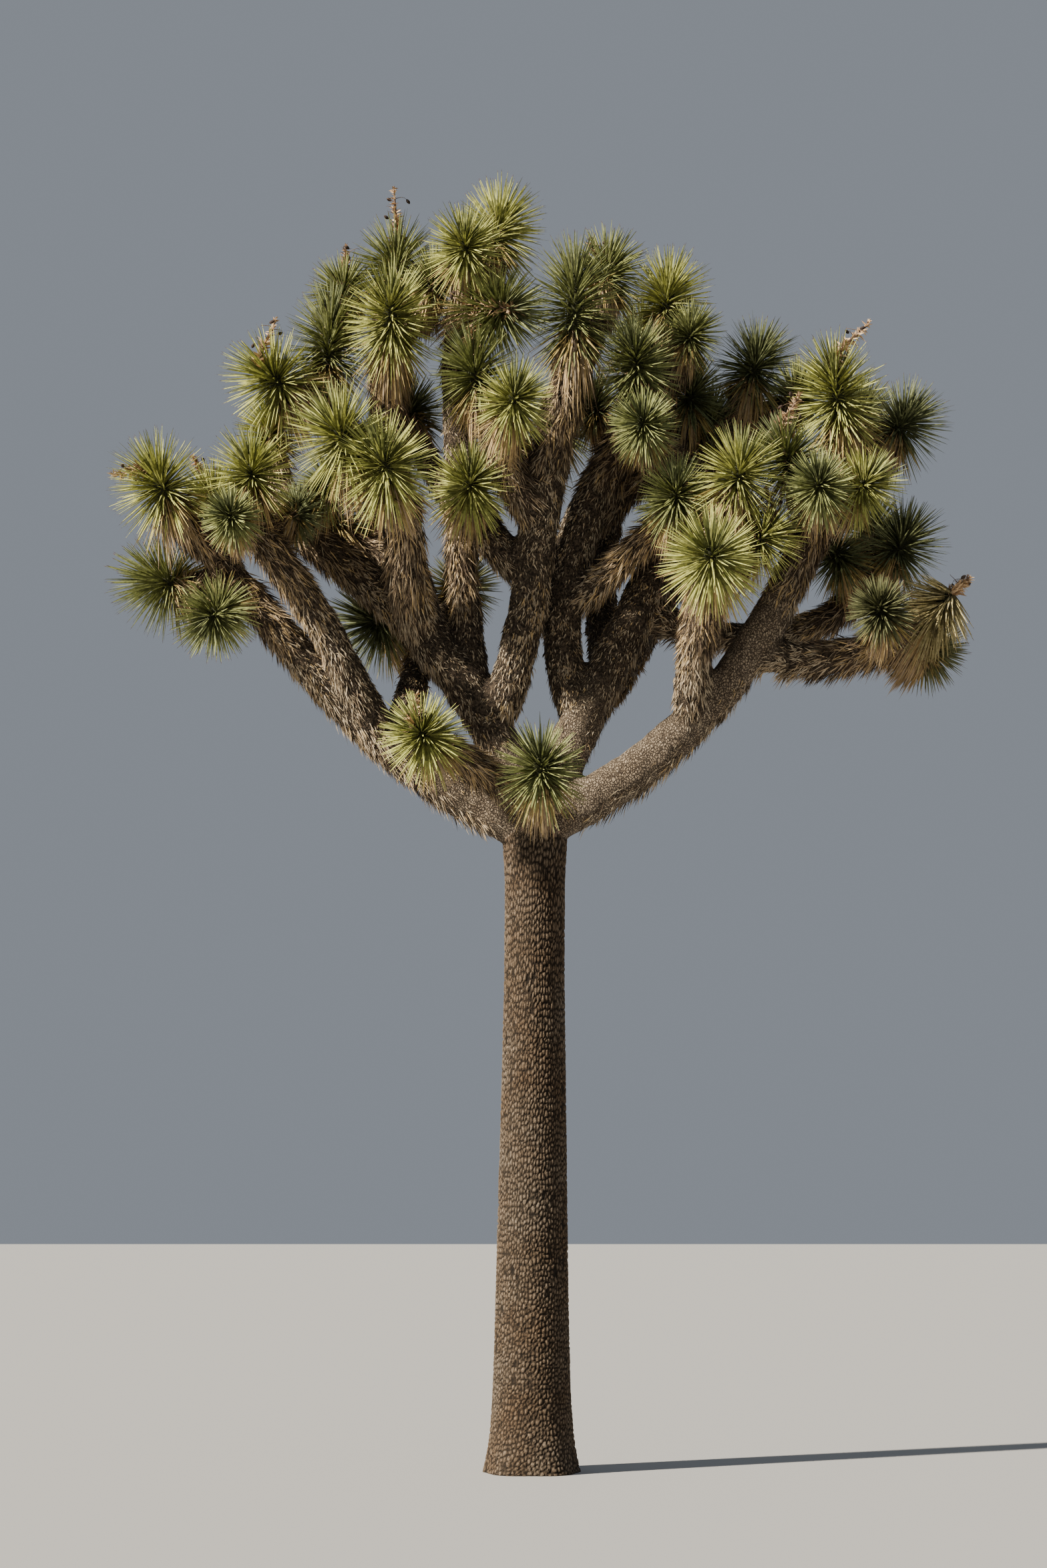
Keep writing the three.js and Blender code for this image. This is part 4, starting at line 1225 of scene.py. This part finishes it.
def add_stage():
    half = FLOOR_SIZE / 2
    corners = np.array([(-half, -half, 0), (half, -half, 0), (half, half, 0), (-half, half, 0)])
    material = plain_material("studio_floor", FLOOR_COLOUR, 0.8, 0.2)
    add_mesh("studio_floor", (corners, np.array(TWO_TRIANGLES)), [material])
    world = bpy.data.worlds.new("studio")
    world.use_nodes = True
    background = world.node_tree.nodes["Background"]
    background.inputs["Color"].default_value = SKY_COLOUR
    background.inputs["Strength"].default_value = SKY_STRENGTH
    bpy.context.scene.world = world
    add_sun()


# The tree

trunk = make_trunk()
limbs = {"trunk": trunk}
for row in BOUGHS:
    limbs[row.name] = make_bough(row, limbs[row.on])
boughs = [limbs[row.name] for row in BOUGHS]
arms = [arm for row in MASSES for arm in make_mass(row, limbs)]
bough_names = [row.name for row in BOUGHS]
mass_names = [row.name for row in MASSES]


def limb_samples(chosen):
    """Points along limbs, and how far from each of them a leaf has to stay."""
    shares = np.linspace(0, 1, LIMB_STEPS)
    points = np.concatenate([limb.point(shares) for limb in chosen])
    return points, np.concatenate([limb.radius(shares) for limb in chosen])


def dress(piece, nodes=mass_names):
    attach(piece, "root")
    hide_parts(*nodes)


def add_bark():
    """The trunk, the boughs' skin and the leafy ends; gives the skin back for the thatch."""
    dress(trunk_bark(trunk, trunk_bark_material()), ["trunk"])
    piece, skin = bough_bark(trunk, boughs, arms, bough_bark_material())
    dress(piece, bough_names + mass_names)
    # The cores are painted near black, as shade inside the rosettes.
    core = blade_material("leaf_base", *CORE_PAINTED_SHADE_COLOURS, 0.8, 0.2)
    cores = join_parts([core_tube(arm) for arm in arms])
    dress(add_mesh("leaf_cores", cores, [core]))
    return skin


def add_leaves():
    """Every living leaf, in one piece for each tint."""
    random = np.random.default_rng(SEED)
    tables = []
    for arm in arms:
        others = [other.head for other in arms if other is not arm]
        samples = limb_samples([limb for limb in boughs + arms if limb is not arm])
        tables.append(rosette_leaves(arm, others, samples, random))
    leaves = join_blades(tables)
    spine = plain_material("leaf_spine", SPINE_COLOUR, 0.6, 0.3)
    for tint, (name, first, second) in LEAF_TINTS.items():
        shape, kinds = blade_mesh(pick(leaves, leaves.kind == tint))
        # A darker copy of each tint for the leaves' inner parts: painted shade inside the rosettes.
        painted_shades = np.array((first, second)) * LEAF_INNER_PAINTED_SHADE
        base = blade_material(name + "_base", *painted_shades.tolist(), 0.6, 0.1)
        blade = blade_material(name, first, second, 0.55, 0.12)
        dress(add_mesh(name, shape, [blade, spine, base], kinds, smooth=False))


def add_dry_blades(blades, tints):
    for index, (name, first, second) in enumerate(tints):
        shape = flat_blade_mesh(pick(blades, blades.kind == index))
        material = blade_material(name, first, second, 0.85, 0.2)
        dress(add_mesh(name, shape, [material], smooth=False))


def add_thatch(skin):
    random = np.random.default_rng(SEED + 1)
    tables = [thatch_blades(skin, random)]
    tables += [skirt_blades(arm, random) for arm in arms]
    add_dry_blades(join_blades(tables), THATCH_TINTS)


def add_stalks():
    random = np.random.default_rng(SEED + 2)
    stalks = [make_stalk(arm.head) for arm in arms if arm.head.stalk]
    wood = [twig_tube(stalk, *STALK_MESH) for stalk in stalks]
    pods = []
    for stalk in stalks:
        twigs, ends = stalk_twigs(stalk, random)
        wood += twigs
        pods += ends
    for name, parts, colours in (("dry_stalks", wood, STALK_COLOURS),
                                 ("seed_pods", pods, POD_COLOURS)):
        material = blade_material(name, *colours, 0.8, 0.25)
        dress(add_mesh(name, join_parts(parts), [material]))
    add_dry_blades(join_blades([stalk_husks(stalk, random) for stalk in stalks]), HUSK_TINTS)


add_camera()
add_stage()
wood_skin = add_bark()
add_leaves()
add_thatch(wood_skin)
add_stalks()
